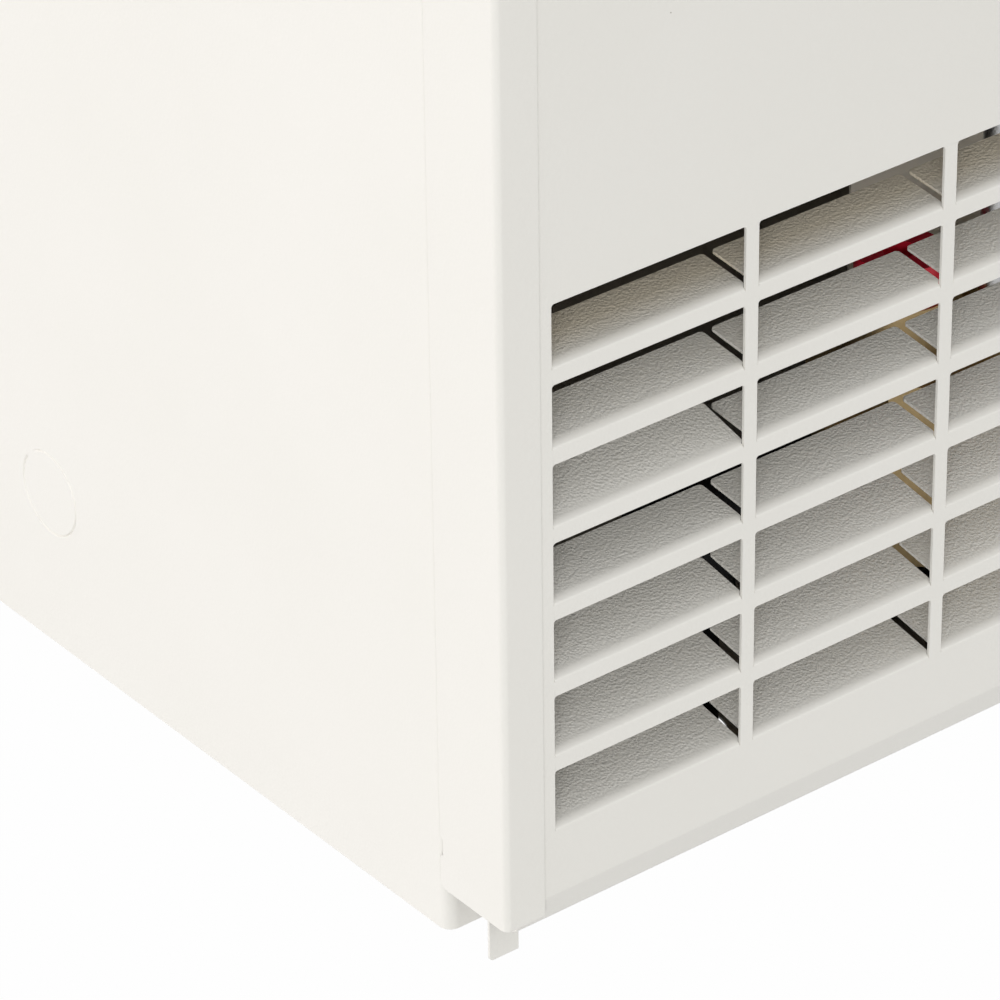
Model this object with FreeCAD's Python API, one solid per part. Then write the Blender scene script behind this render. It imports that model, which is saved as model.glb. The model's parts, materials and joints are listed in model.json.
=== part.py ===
"""Direct-vent gas wall heater: sheet-steel casing, louvred cover, burner, valve and flue collars.

Millimetres. X runs to the right, Y into the wall, Z up. The origin is where the flue axis meets
the wall, on the rear face of the back panel.
"""
import FreeCAD, Part
import math
import os

Vector = FreeCAD.Vector
up = Vector(0, 0, 1)

# Sheet thicknesses
CASING_SHEET = 0.7
BACK_SHEET = 1.0
COVER_SHEET = 0.7
CHAMBER_SHEET = 1.2
BRACKET_SHEET = 1.5
BRACKET_BEND = 3.0

# Combustion chamber, which the casing is built round
CHAMBER_WIDTH = 330.0
CHAMBER_HEIGHT = 440.0
CHAMBER_DEPTH = 111.0
CHAMBER_CORNER = 28.0
CHAMBER_FLANGE = 12.0
CHAMBER_DRAFT = 6.0
CHAMBER_SHOULDER = 10.0
CHAMBER_STANDOFF = 28.0
EMBOSS_MARGIN = 34.0
EMBOSS_HEIGHT = 4.0

# Space round the chamber
SIDE_BAY = 80.2
BURNER_BAY = 139.6
TOP_BAY = 52.0
CONTROL_BAY = 56.3
FLUE_BELOW_CHAMBER_TOP = 150.0

# Casing folds, wall holes and knock-out
CASING_BEND = 3.2
CASING_FLANGE = 14.0
WALL_HOLE_SPACING_X = 400.0
WALL_HOLE_SPACING_Z = 360.0
WALL_HOLE_RADIUS = 3.5
KNOCKOUT_RADIUS = 11.5
KNOCKOUT_SLIT = 0.6
KNOCKOUT_BRIDGE = 4.0
KNOCKOUT_BRIDGE_ANGLE = 45.0
KNOCKOUT_RISE = 43.8
KNOCKOUT_FROM_WALL = 40.2

# Cover frame and louvred front panel
COVER_DEPTH = 22.0
COVER_LAP = 1.3
COVER_PLAY = 0.1
COVER_RAISE = 8.3
STRIP_WIDTH = 11.4
STRIP_RAISE = 4.3
CORNER_RADIUS = 1.8
PANEL_INSET = 5.5
LIP_HEIGHT = 8.3
LIP_ANGLE = 18.0
LIP_BEND = 2.0
HEM_DEPTH = 16.0
SLOT_WIDTH = 54.5
SLOT_HEIGHT = 16.5
COLUMN_BAR = 3.7
ROW_BAR = 3.5
LOUVRE_ROWS = 7
GRILLE_RISE = 25.7
GRILLE_EDGE_LEAST = 14.0
FIN_BEND = 1.8
FIN_ANGLE = 84.0
FIN_CORNER = 1.2
FIN_SIDE_GAP = 0.25

# Tabs and hooks of the cover
TAB_WIDTH = 8.4
TAB_SETBACK = 8.0
TAB_INSET = 2.0
TAB_SHEET = 0.8
TAB_BEND = 1.6
TAB_LEG = 7.0
TAB_GRIP = 25.0
TAB_CLEARANCE = 0.4
TAB_DROP = 0.8
HOOK_SHEET = 1.2
HOOK_HEIGHT = 4.0
HOOK_NOSE = 3.0
HOOK_REACH = 5.0
HOOK_GRIP = 5.5
HOOK_CLEARANCE = 0.3
HOOK_RISE = 8.0

# Warm-air slots of the top panel
OUTLET_SLOT_LENGTH = 88.0
OUTLET_SLOT_WIDTH = 10.0
OUTLET_COLUMN_PITCH = 98.0
OUTLET_ROW_PITCH = 20.0
OUTLET_COLUMNS = 4
OUTLET_ROWS = 4
OUTLET_FROM_WALL = 80.0

# Flue collars and air box
EXHAUST_RADIUS = 50.0
AIR_RADIUS = 75.0
COLLAR_SHEET = 0.8
COLLAR_REACH = 45.0
COLLAR_FLANGE = 12.0
COLLAR_CLEARANCE = 0.3
AIR_COLLAR_WALL = 1.8
AIR_NECK = 1.0
AIR_BOX_MARGIN = 6.0
AIR_BOX_REACH = 180.0
AIR_INLET_WIDTH = 110.0
AIR_INLET_HEIGHT = 44.0
GASKET_SHEET = 2.0
GASKET_WIDTH = 12.0

# Brackets that carry the chamber
CHAMBER_BRACKET_HEIGHT = 300.0
CHAMBER_BRACKET_FOOT = 20.0

# Burner and its access plate
ACCESS_WIDTH = 256.0
ACCESS_HEIGHT = 94.0
ACCESS_RISE = 14.0
ACCESS_LIP = 14.0
ACCESS_SCREW_RADIUS = 3.5
ACCESS_SCREW_HEAD = 3.0
BURNER_RADIUS = 16.0
BURNER_LENGTH = 176.0
BURNER_MIDDLE_X = 45.0
BURNER_BELL_RADIUS = 22.0
BURNER_BELL_LENGTH = 20.0
BURNER_BELL_DEPTH = 12.0
BURNER_PORT_WIDTH = 6.0
BURNER_PORT_LENGTH = 120.0
BURNER_PORT_DEPTH = 3.0
BURNER_BRACKET_FROM_END = 29.0
BURNER_BRACKET_SPACING = 88.0
ORIFICE_RADIUS = 7.0
ORIFICE_SPUD_RADIUS = 4.0
ORIFICE_SPUD_LENGTH = 12.0
ORIFICE_GAP = 4.0
FITTING_REACH = 11.0
FITTING_FLANGE = 2.5

# Sight window
GLASS_X = 62.0
GLASS_SHEET = 2.0
SIGHT_WIDTH = 34.0
SIGHT_HEIGHT = 20.0
SIGHT_LIP = 5.0
SIGHT_FRAME_RIM = 4.0
SIGHT_FRAME_SHEET = 1.0

# Pilot burner, spark electrode and thermocouple, side by side through the access plate
PILOT_PITCH = 18.0
PILOT_RISE = 14.0
PILOT_RADIUS = 4.0
PILOT_HOOD_RADIUS = 6.5
PILOT_HOOD_LENGTH = 11.0
PILOT_GAP = 5.0
ELECTRODE_RADIUS = 3.5
ELECTRODE_WIRE_RADIUS = 1.0
ELECTRODE_WIRE_LENGTH = 12.0
THERMOCOUPLE_RADIUS = 2.5

# Gas valve and inlet
VALVE_PORT_INSET = 34.0
VALVE_LENGTH = 110.0
VALVE_WIDTH = 46.0
VALVE_HEIGHT = 50.0
VALVE_CORNER = 8.0
VALVE_STAND = 34.0
STEM_BOSS_RADIUS = 10.0
STEM_BOSS_HEIGHT = 8.0
REGULATOR_RADIUS = 13.0
REGULATOR_HEIGHT = 15.0
REGULATOR_INSET = 16.0
CAP_RADIUS = 11.0
CAP_HEIGHT = 10.0
CAP_DIMPLE = 4.0
OUTLET_BOSS_RADIUS = 7.5
OUTLET_SETBACK = 14.0
PORT_BOSS_RADIUS = 5.5
PORT_BOSS_LENGTH = 6.0
INLET_BOSS_RADIUS = 15.0
INLET_BOSS_LENGTH = 12.0
INLET_PIPE_RADIUS = 9.8
INLET_THREAD_RADIUS = 10.65
INLET_BORE_RADIUS = 7.9
INLET_THREAD_LENGTH = 18.0
INLET_THREAD_GAP = 2.0
INLET_RUN = 40.0
INLET_ELBOW_RADIUS = 13.5
INLET_ELBOW_REACH = 22.0
INLET_HOLE_CLEARANCE = 1.5
VALVE_BRACKET_LENGTH = 70.0
VALVE_BRACKET_FOOT = 8.5

# Heat shield behind the valve
SHIELD_INSET = 26.0
SHIELD_WIDTH = 236.0
SHIELD_HEIGHT = 120.0
SHIELD_GAP = 6.0

# Tubes, leads and their nuts
MANIFOLD_RADIUS = 4.0
PILOT_TUBE_RADIUS = 2.0
LEAD_RADIUS = 1.5
ELBOW_LEG = 14.0
LEAD_BEND = 12.0
NUT_LENGTH = 9.0
NUT_WALL = 3.0

# Knob, dial and rod
ROD_INSET = 68.0
ROD_SETBACK = 29.6
ROD_RADIUS = 4.0
STEM_LENGTH = 20.0
STEM_SEAT = 12.0
COUPLING_RADIUS = 7.0
COUPLING_LENGTH = 24.0
BEZEL_WIDTH = 50.0
BEZEL_SHEET = 1.6
BEZEL_CORNER = 6.0
DIAL_RADIUS = 23.0
DIAL_SHEET = 2.6
DIAL_HUB_RADIUS = 11.0
DIAL_HUB_LENGTH = 9.0
KNOB_RADIUS = 18.0
KNOB_HEIGHT = 20.0
KNOB_TRAVEL = 6.0
KNOB_SHANK_RADIUS = 7.5
KNOB_FLATS = 12
KNOB_EDGE = 1.5
TURN_CLEARANCE = 0.3
SHAFT_CLEARANCE = 0.05

# Igniter
IGNITER_SPACING = 44.0
IGNITER_RADIUS = 9.0
IGNITER_LENGTH = 42.0
IGNITER_FLANGE_RADIUS = 12.0
IGNITER_FLANGE = 2.5
BUTTON_RADIUS = 6.5
BUTTON_RISE = 7.0
BUTTON_TRAVEL = 5.0
BUTTON_SEAT = 14.0

# How near two lengths are when they count as equal
LENGTH_MATCH = 0.00001

# Faces that several pieces share
chamber_rear = -BACK_SHEET - CHAMBER_STANDOFF
plate_front = chamber_rear - CHAMBER_SHEET
chamber_front = plate_front - CHAMBER_DEPTH
casing_front = chamber_front - CONTROL_BAY
field_front = casing_front - COVER_DEPTH
strip_front = field_front - COVER_SHEET
chamber_top = FLUE_BELOW_CHAMBER_TOP
chamber_bottom = chamber_top - CHAMBER_HEIGHT
casing_bottom = chamber_bottom - BURNER_BAY
casing_top = chamber_top + TOP_BAY
casing_width = CHAMBER_WIDTH + 2 * SIDE_BAY
casing_right = casing_width / 2
casing_left = -casing_right
cover_left = casing_left - COVER_PLAY - COVER_SHEET
cover_top = casing_top + COVER_PLAY + COVER_SHEET
cover_rear = casing_front + COVER_LAP
cover_bottom = casing_bottom + COVER_RAISE
strip_bottom = cover_bottom + STRIP_RAISE
tab_front = field_front + TAB_SETBACK
tab_inner = cover_left + TAB_INSET + TAB_WIDTH
hook_face = casing_left + CASING_SHEET
base_top = casing_bottom + CASING_SHEET

access_bottom = chamber_bottom + ACCESS_RISE
burner_z = access_bottom + ACCESS_HEIGHT / 2
burner_y = (chamber_front + plate_front) / 2
pan_front = chamber_front + EMBOSS_HEIGHT
access_rear = pan_front - GASKET_SHEET
access_front = access_rear - BRACKET_SHEET
pilot_z = burner_z + PILOT_RISE
fitting_front = access_front - FITTING_FLANGE - FITTING_REACH
burner_left = BURNER_MIDDLE_X - BURNER_LENGTH / 2
burner_right = BURNER_MIDDLE_X + BURNER_LENGTH / 2
orifice_x = burner_left - ORIFICE_GAP - ORIFICE_SPUD_LENGTH - ORIFICE_RADIUS

valve_left = orifice_x - VALVE_PORT_INSET
valve_right = valve_left + VALVE_LENGTH
rod_x = valve_left + ROD_INSET
rod_y = casing_front + ROD_SETBACK
port_y = rod_y - OUTLET_SETBACK
igniter_x = rod_x + IGNITER_SPACING
pilot_x = igniter_x - PILOT_PITCH
sensor_x = pilot_x - PILOT_PITCH
valve_bottom = base_top + VALVE_STAND
valve_top = valve_bottom + VALVE_HEIGHT
stem_boss_top = valve_top + STEM_BOSS_HEIGHT

dial_bottom = casing_top + BEZEL_SHEET + TURN_CLEARANCE
dial_top = dial_bottom + DIAL_SHEET
knob_bottom = dial_top + KNOB_TRAVEL + TURN_CLEARANCE
shank_bottom = casing_top - CASING_SHEET - DIAL_HUB_LENGTH


# Shapes that several pieces use

def box(x_span, y_span, z_span):
    """Block between two values on each axis."""
    size = [span[1] - span[0] for span in (x_span, y_span, z_span)]
    return Part.makeBox(*size, Vector(x_span[0], y_span[0], z_span[0]))


def cylinder(radius, start, end):
    """Round bar from start to end."""
    along = end - start
    return Part.makeCylinder(radius, along.Length, start, along)


def ring(outer, inner, start, end):
    """Round tube from start to end."""
    return cylinder(outer, start, end).cut(cylinder(inner, start, end))


def straight_run(start, end):
    """Straight edge, or nothing where two arcs meet."""
    if start.distanceToPoint(end) < LENGTH_MATCH:
        return []
    return [Part.LineSegment(start, end).toShape()]


def rounded_edges(points, radii):
    """Straight runs through the points, joined by tangent arcs."""
    edges = []
    start = points[0]
    for before, corner, after, radius in zip(points, points[1:], points[2:], radii):
        back = (before - corner).normalize()
        ahead = (after - corner).normalize()
        half = back.getAngle(ahead) / 2
        first = corner + back * (radius / math.tan(half))
        last = corner + ahead * (radius / math.tan(half))
        inward = (back + ahead).normalize()
        middle = corner + inward * (radius / math.sin(half) - radius)
        edges += straight_run(start, first)
        edges.append(Part.Arc(first, middle, last).toShape())
        start = last
    return edges + straight_run(start, points[-1])


def folded_sheet(points, sheet, bend, extrusion, side=1):
    """Bent sheet: points trace one face, the sheet lies to their left or right, seen along -extrusion."""
    axis = Vector(extrusion).normalize()
    runs = [(b - a).normalize() for a, b in zip(points, points[1:])]
    normals = [axis.cross(run) * side for run in runs]
    other = [points[0] + normals[0] * sheet]
    near_radii = []
    far_radii = []
    for index, corner in enumerate(points[1:-1]):
        first, second = normals[index], normals[index + 1]
        other.append(corner + (first + second) * (sheet / (1 + first.dot(second))))
        turns_to_sheet = runs[index].cross(runs[index + 1]).dot(axis) * side > 0
        near_radii.append(bend if turns_to_sheet else bend - sheet)
        far_radii.append(bend - sheet if turns_to_sheet else bend)
    other.append(points[-1] + normals[-1] * sheet)
    outline = rounded_edges(points, near_radii)
    outline.append(Part.LineSegment(points[-1], other[-1]).toShape())
    outline += rounded_edges(other[::-1], far_radii[::-1])
    outline.append(Part.LineSegment(other[0], points[0]).toShape())
    return Part.Face(Part.Wire(Part.__sortEdges__(outline))).extrude(extrusion)


def cut_rectangle(x_span, z_span, corner, y):
    """Closed outline in an upright plane, with its corners cut at 45 degrees."""
    (x0, x1), (z0, z1) = x_span, z_span
    corners = [
        (x0 + corner, z0), (x1 - corner, z0), (x1, z0 + corner), (x1, z1 - corner),
        (x1 - corner, z1), (x0 + corner, z1), (x0, z1 - corner), (x0, z0 + corner), (x0 + corner, z0)]
    return Part.makePolygon([Vector(x, y, z) for x, z in corners])


def upright_plate(x_span, z_span, corner, y, sheet):
    """Flat plate with cut corners, from y forward by its thickness."""
    return Part.Face(cut_rectangle(x_span, z_span, corner, y)).extrude(Vector(0, -sheet, 0))


def tube(start, corner, end, bend, radius):
    """Round tube with one square bend: two straight runs and an arc between them."""
    back = (start - corner).normalize()
    ahead = (end - corner).normalize()
    first = corner + back * bend
    last = corner + ahead * bend
    section = Part.Face(Part.Wire(Part.makeCircle(radius, first, back)))
    turn = section.revolve(first + ahead * bend, ahead.cross(back), 90)
    return cylinder(radius, start, first).fuse([turn, cylinder(radius, last, end)])


def hexagon(inner_radius, start, end):
    """Hexagonal bar whose flats lie inner_radius from its axis."""
    along = end - start
    turn = FreeCAD.Rotation(Vector(0, 0, 1), along)
    corner = inner_radius / math.cos(math.pi / 6)
    points = []
    for index in range(7):
        angle = math.pi / 3 * index
        points.append(start + turn.multVec(Vector(corner * math.cos(angle), corner * math.sin(angle), 0)))
    return Part.Face(Part.makePolygon(points)).extrude(along)


def mirrored(shape):
    """The same piece for the other end of the heater."""
    return shape.mirror(Vector(0, 0, 0), Vector(1, 0, 0))


def group(shapes):
    """Separate solids kept in one node."""
    solids = []
    for shape in shapes:
        solids += shape.Solids
    return Part.Compound(solids)


def edges_at(shape, length, test):
    """Edges of one length whose middle passes a test."""
    found = []
    for edge in shape.Edges:
        if abs(edge.Length - length) < LENGTH_MATCH and test(edge.CenterOfMass):
            found.append(edge)
    return found


# Casing

def hook_bottoms():
    """Heights where the cover hooks rest in their slots."""
    low = strip_bottom + HOOK_RISE + HOOK_NOSE
    high = cover_top - STRIP_WIDTH - HOOK_RISE - HOOK_HEIGHT
    return [low, high]


def hook_slot(bottom):
    """Room for one left hook where it passes the casing's fold, with space above to lift it out."""
    return box((hook_face, hook_face + HOOK_SHEET + HOOK_CLEARANCE),
               (casing_front, casing_front + CASING_BEND),
               (bottom, bottom + HOOK_HEIGHT + HOOK_NOSE + HOOK_CLEARANCE))


def side_panel():
    """Left side of the casing, folded inwards at front and rear, with hook slots."""
    points = [
        Vector(casing_left + CASING_FLANGE, casing_front, casing_bottom),
        Vector(casing_left, casing_front, casing_bottom),
        Vector(casing_left, -BACK_SHEET, casing_bottom),
        Vector(casing_left + CASING_FLANGE, -BACK_SHEET, casing_bottom),
    ]
    rise = Vector(0, 0, casing_top - casing_bottom)
    panel = folded_sheet(points, CASING_SHEET, CASING_BEND, rise, -1)
    return panel.cut([hook_slot(bottom) for bottom in hook_bottoms()])


def knockout():
    """Round slit in the left side, broken by the bridge that holds the blank."""
    centre = Vector(casing_left, -KNOCKOUT_FROM_WALL, casing_bottom + KNOCKOUT_RISE)
    through = Vector(CASING_SHEET, 0, 0)
    slit = ring(KNOCKOUT_RADIUS, KNOCKOUT_RADIUS - KNOCKOUT_SLIT, centre, centre + through)
    half = KNOCKOUT_BRIDGE / 2
    bridge = box((casing_left, casing_left + CASING_SHEET), (-half, half), (0, 2 * KNOCKOUT_RADIUS))
    bridge.translate(Vector(0, centre.y, centre.z))
    bridge.rotate(centre, Vector(1, 0, 0), -KNOCKOUT_BRIDGE_ANGLE)
    return slit.cut(bridge)


def back_panel():
    """Flat rear sheet with the flue hole and four wall holes."""
    edge = CASING_SHEET
    panel = box((casing_left + edge, casing_right - edge), (-BACK_SHEET, 0),
                (casing_bottom, casing_top))
    depth = Vector(0, BACK_SHEET, 0)
    front = Vector(0, -BACK_SHEET, 0)
    holes = [cylinder(AIR_RADIUS - AIR_NECK + COLLAR_CLEARANCE, front, front + depth)]
    for x in (-WALL_HOLE_SPACING_X / 2, WALL_HOLE_SPACING_X / 2):
        for z in (-WALL_HOLE_SPACING_Z / 2, WALL_HOLE_SPACING_Z / 2):
            start = Vector(x, -BACK_SHEET, z)
            holes.append(cylinder(WALL_HOLE_RADIUS, start, start + depth))
    return panel.cut(holes)


def cross_panel(outer, inner):
    """Tray between the side panels, its front and rear edges folded from the outer to the inner level."""
    inside = casing_left + CASING_SHEET
    front = casing_front + CASING_SHEET
    rear = -BACK_SHEET - CASING_SHEET
    points = [
        Vector(inside, front, inner),
        Vector(inside, front, outer),
        Vector(inside, rear, outer),
        Vector(inside, rear, inner),
    ]
    across = Vector(casing_width - 2 * CASING_SHEET, 0, 0)
    tray = folded_sheet(points, CASING_SHEET, CASING_BEND, across, -1 if outer > inner else 1)
    relief = CASING_BEND - CASING_SHEET
    levels = (min(outer, inner), max(outer, inner))
    left_notches = [box((inside, inside + relief), (front, front + relief), levels),
                    box((inside, inside + relief), (rear - relief, rear), levels)]
    return tray.cut(left_notches + [mirrored(notch) for notch in left_notches])


def top_panel():
    """Top of the casing with warm-air slots and the holes for the controls."""
    panel = cross_panel(casing_top, casing_top - CASING_FLANGE)
    under = Vector(0, 0, casing_top - CASING_SHEET)
    rise = Vector(0, 0, CASING_SHEET)
    cuts = []
    for x, radius in ((rod_x, DIAL_HUB_RADIUS), (igniter_x, IGNITER_RADIUS)):
        start = under + Vector(x, rod_y, 0)
        cuts.append(cylinder(radius + TURN_CLEARANCE, start, start + rise))
    for column in range(OUTLET_COLUMNS):
        x = (column - (OUTLET_COLUMNS - 1) / 2) * OUTLET_COLUMN_PITCH
        for row in range(OUTLET_ROWS):
            y = -OUTLET_FROM_WALL + ((OUTLET_ROWS - 1) / 2 - row) * OUTLET_ROW_PITCH
            cuts.append(box((x - OUTLET_SLOT_LENGTH / 2, x + OUTLET_SLOT_LENGTH / 2),
                            (y - OUTLET_SLOT_WIDTH / 2, y + OUTLET_SLOT_WIDTH / 2),
                            (casing_top - CASING_SHEET, casing_top)))
    return panel.cut(cuts)


def base_panel():
    """Bottom of the casing with the hole for the gas inlet."""
    panel = cross_panel(casing_bottom, casing_bottom + CASING_FLANGE)
    start = Vector(inlet_x, rod_y, casing_bottom)
    hole = cylinder(INLET_THREAD_RADIUS + INLET_HOLE_CLEARANCE, start, start + Vector(0, 0, CASING_SHEET))
    return panel.cut(hole)


# Front cover

def side_channel():
    """Left corner angle of the cover: a front strip and a side that laps over the casing, mitred above."""
    points = [
        Vector(cover_left + STRIP_WIDTH, strip_front, strip_bottom),
        Vector(cover_left, strip_front, strip_bottom),
        Vector(cover_left, cover_rear, strip_bottom),
    ]
    channel = folded_sheet(points, COVER_SHEET, CORNER_RADIUS, Vector(0, 0, cover_top - strip_bottom), -1)
    return channel.cut(mitre())


def mitre():
    """Wedge above the slanting joint at the cover's upper left corner."""
    corner = Vector(cover_left, strip_front, cover_top)
    reach = 2 * STRIP_WIDTH
    outline = [corner, corner + Vector(reach, 0, -reach), corner + Vector(reach, 0, 0), corner]
    return Part.Face(Part.makePolygon(outline)).extrude(Vector(0, cover_rear - strip_front, 0))


def top_channel():
    """Top angle of the cover, of the same section as the corner angles."""
    points = [
        Vector(cover_left, strip_front, cover_top - STRIP_WIDTH),
        Vector(cover_left, strip_front, cover_top),
        Vector(cover_left, cover_rear, cover_top),
    ]
    channel = folded_sheet(points, COVER_SHEET, CORNER_RADIUS, Vector(-2 * cover_left, 0, 0), -1)
    reach = 2 * STRIP_WIDTH
    below = box((cover_left, cover_left + reach), (strip_front, cover_rear),
                (cover_top - reach, cover_top)).cut(mitre())
    return channel.cut([below, mirrored(below)])


def grille_columns():
    """Left edges of the louvre columns, as many as the cover's width holds."""
    pitch = SLOT_WIDTH + COLUMN_BAR
    room = -2 * (cover_left + GRILLE_EDGE_LEAST)
    count = int((room + COLUMN_BAR) / pitch)
    start = -(count * pitch - COLUMN_BAR) / 2
    return [start + index * pitch for index in range(count)]


def grille_rows():
    """Lower edges of the louvre rows."""
    pitch = SLOT_HEIGHT + ROW_BAR
    return [cover_bottom + GRILLE_RISE + index * pitch for index in range(LOUVRE_ROWS)]


def louvre_fin():
    """One fin, bent inwards from the lower edge of a slot at X 0 and Z 0; its fold is one flat facet."""
    angle = math.radians(FIN_ANGLE)
    slope = Vector(0, math.sin(angle), math.cos(angle))
    inward = Vector(0, math.cos(angle), -math.sin(angle))
    foot = Vector(FIN_SIDE_GAP, field_front, 0)
    bend = foot + Vector(0, FIN_BEND, 0) - inward * FIN_BEND
    tip = bend + slope * (SLOT_HEIGHT - FIN_BEND * angle)
    through = inward * COVER_SHEET
    outline = [foot, bend, tip, tip + through, bend + through, foot + Vector(0, COVER_SHEET, 0), foot]
    across = Vector(SLOT_WIDTH - 2 * FIN_SIDE_GAP, 0, 0)
    fin = Part.Face(Part.makePolygon(outline)).extrude(across)
    free = edges_at(fin, COVER_SHEET, lambda middle: middle.distanceToLine(tip, across) < COVER_SHEET)
    return fin.makeChamfer(FIN_CORNER, free)


def front_panel():
    """Louvred sheet between the channels; its bottom slants back in a lip and folds to a hem."""
    left = cover_left + PANEL_INSET
    top = cover_top - PANEL_INSET
    lip_top = cover_bottom + LIP_HEIGHT
    field_bottom = lip_top + LIP_BEND
    width = -2 * left
    wires = [Part.makePolygon([
        Vector(left, field_front, field_bottom), Vector(left + width, field_front, field_bottom),
        Vector(left + width, field_front, top), Vector(left, field_front, top),
        Vector(left, field_front, field_bottom)])]
    fins = []
    fin = louvre_fin()
    for x in grille_columns():
        for z in grille_rows():
            wires.append(Part.makePolygon([
                Vector(x, field_front, z), Vector(x, field_front, z + SLOT_HEIGHT),
                Vector(x + SLOT_WIDTH, field_front, z + SLOT_HEIGHT), Vector(x + SLOT_WIDTH, field_front, z),
                Vector(x, field_front, z)]))
            fins.append(fin.translated(Vector(x, 0, z)))
    sheet = Part.Face(wires).extrude(Vector(0, COVER_SHEET, 0))
    lip_foot = field_front + LIP_HEIGHT * math.tan(math.radians(LIP_ANGLE))
    points = [
        Vector(left, field_front, field_bottom),
        Vector(left, field_front, lip_top),
        Vector(left, lip_foot, cover_bottom),
        Vector(left, field_front + HEM_DEPTH, cover_bottom),
    ]
    lip = folded_sheet(points, COVER_SHEET, LIP_BEND, Vector(width, 0, 0))
    notch = box((left, tab_inner + TAB_CLEARANCE), (tab_front - TAB_CLEARANCE, field_front + HEM_DEPTH),
                (cover_bottom, cover_bottom + COVER_SHEET))
    return sheet.multiFuse([lip.cut([notch, mirrored(notch)])] + fins)


def cover_tab():
    """Left locating tab: an angle inside the corner channel whose front leg hangs below the cover."""
    inner = cover_left + COVER_SHEET
    bottom = casing_bottom - TAB_DROP
    top = strip_bottom + TAB_GRIP
    leg_end = tab_front + TAB_LEG
    points = [
        Vector(tab_inner, tab_front, bottom),
        Vector(inner, tab_front, bottom),
        Vector(inner, leg_end, bottom),
    ]
    angle = folded_sheet(points, TAB_SHEET, TAB_BEND, Vector(0, 0, top - bottom), -1)
    below = (bottom, strip_bottom)
    notch = box((inner, cover_left + TAB_INSET), (tab_front, leg_end), below)
    rear = box((inner, tab_inner), (tab_front + TAB_SHEET, leg_end), below)
    return angle.cut([notch, rear])


def cover_hook(bottom):
    """Left hook: a plate on a pad of the corner channel, through the casing's fold and down behind it."""
    start = casing_front - HOOK_GRIP
    behind = casing_front + CASING_BEND + HOOK_CLEARANCE
    end = behind + HOOK_REACH
    side_view = [
        (start, bottom), (behind, bottom), (behind, bottom - HOOK_NOSE), (end, bottom - HOOK_NOSE),
        (end, bottom + HOOK_HEIGHT), (start, bottom + HOOK_HEIGHT), (start, bottom)]
    outline = [Vector(hook_face, y, z) for y, z in side_view]
    plate = Part.Face(Part.makePolygon(outline)).extrude(Vector(HOOK_SHEET, 0, 0))
    pad = box((cover_left + COVER_SHEET, hook_face), (start, casing_front - HOOK_CLEARANCE),
              (bottom, bottom + HOOK_HEIGHT))
    return plate.fuse(pad)


# Combustion chamber

def pan_solid(inset, front):
    """Drawn pan as a solid: straight walls with draft and a sloping shoulder, inset from the outside."""
    shoulder = front + CHAMBER_SHOULDER
    wires = []
    for y, narrow in ((plate_front, 0), (shoulder, CHAMBER_DRAFT), (front, CHAMBER_DRAFT + CHAMBER_SHOULDER)):
        side = CHAMBER_WIDTH / 2 - CHAMBER_FLANGE - narrow - inset
        low = chamber_bottom + CHAMBER_FLANGE + narrow + inset
        high = chamber_top - CHAMBER_FLANGE - narrow - inset
        wires.append(cut_rectangle((-side, side), (low, high), CHAMBER_CORNER - inset, y))
    return Part.makeLoft(wires, True, True)


def emboss(inset, front):
    """Raised panel that stiffens the pan's front above the burner opening."""
    narrow = CHAMBER_FLANGE + CHAMBER_DRAFT + CHAMBER_SHOULDER + EMBOSS_MARGIN + inset
    half = CHAMBER_WIDTH / 2 - narrow
    low = access_bottom + ACCESS_HEIGHT + EMBOSS_MARGIN + inset
    return box((-half, half), (front - EMBOSS_HEIGHT, front), (low, chamber_top - narrow))


def chamber_pan():
    """Front half of the chamber: a drawn pan with a raised panel, a seam flange and the burner opening."""
    outer = pan_solid(0, pan_front).fuse(emboss(0, pan_front))
    inner_front = pan_front + CHAMBER_SHEET
    inner = pan_solid(CHAMBER_SHEET, inner_front).fuse(emboss(CHAMBER_SHEET, inner_front))
    half = CHAMBER_WIDTH / 2
    flange = upright_plate((-half, half), (chamber_bottom, chamber_top), CHAMBER_CORNER, plate_front,
                           CHAMBER_SHEET)
    half_opening = ACCESS_WIDTH / 2 - ACCESS_LIP
    opening = box((-half_opening, half_opening), (pan_front, inner_front),
                  (access_bottom + ACCESS_LIP, access_bottom + ACCESS_HEIGHT - ACCESS_LIP))
    return outer.fuse(flange).cut([inner, opening])


def chamber_back_plate():
    """Rear half of the chamber: a flat plate with the flue outlet and the air inlet."""
    half = CHAMBER_WIDTH / 2
    plate = upright_plate((-half, half), (chamber_bottom, chamber_top), CHAMBER_CORNER, chamber_rear,
                          CHAMBER_SHEET)
    outlet = cylinder(EXHAUST_RADIUS, Vector(0, plate_front, 0), Vector(0, chamber_rear, 0))
    inlet = box((-AIR_INLET_WIDTH / 2, AIR_INLET_WIDTH / 2), (plate_front, chamber_rear),
                (-AIR_BOX_REACH, AIR_INLET_HEIGHT - AIR_BOX_REACH))
    return plate.cut([outlet, inlet])


def chamber_bracket():
    """Right Z-shaped bracket between the back panel and the chamber's seam flange."""
    web = CHAMBER_WIDTH / 2
    bottom = (chamber_top + chamber_bottom - CHAMBER_BRACKET_HEIGHT) / 2
    points = [
        Vector(web + CHAMBER_BRACKET_FOOT, -BACK_SHEET, bottom),
        Vector(web, -BACK_SHEET, bottom),
        Vector(web, chamber_rear + BRACKET_SHEET, bottom),
        Vector(web - CHAMBER_FLANGE, chamber_rear + BRACKET_SHEET, bottom),
    ]
    rise = Vector(0, 0, CHAMBER_BRACKET_HEIGHT)
    return folded_sheet(points, BRACKET_SHEET, BRACKET_BEND, rise, 1)


# Flue

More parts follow.
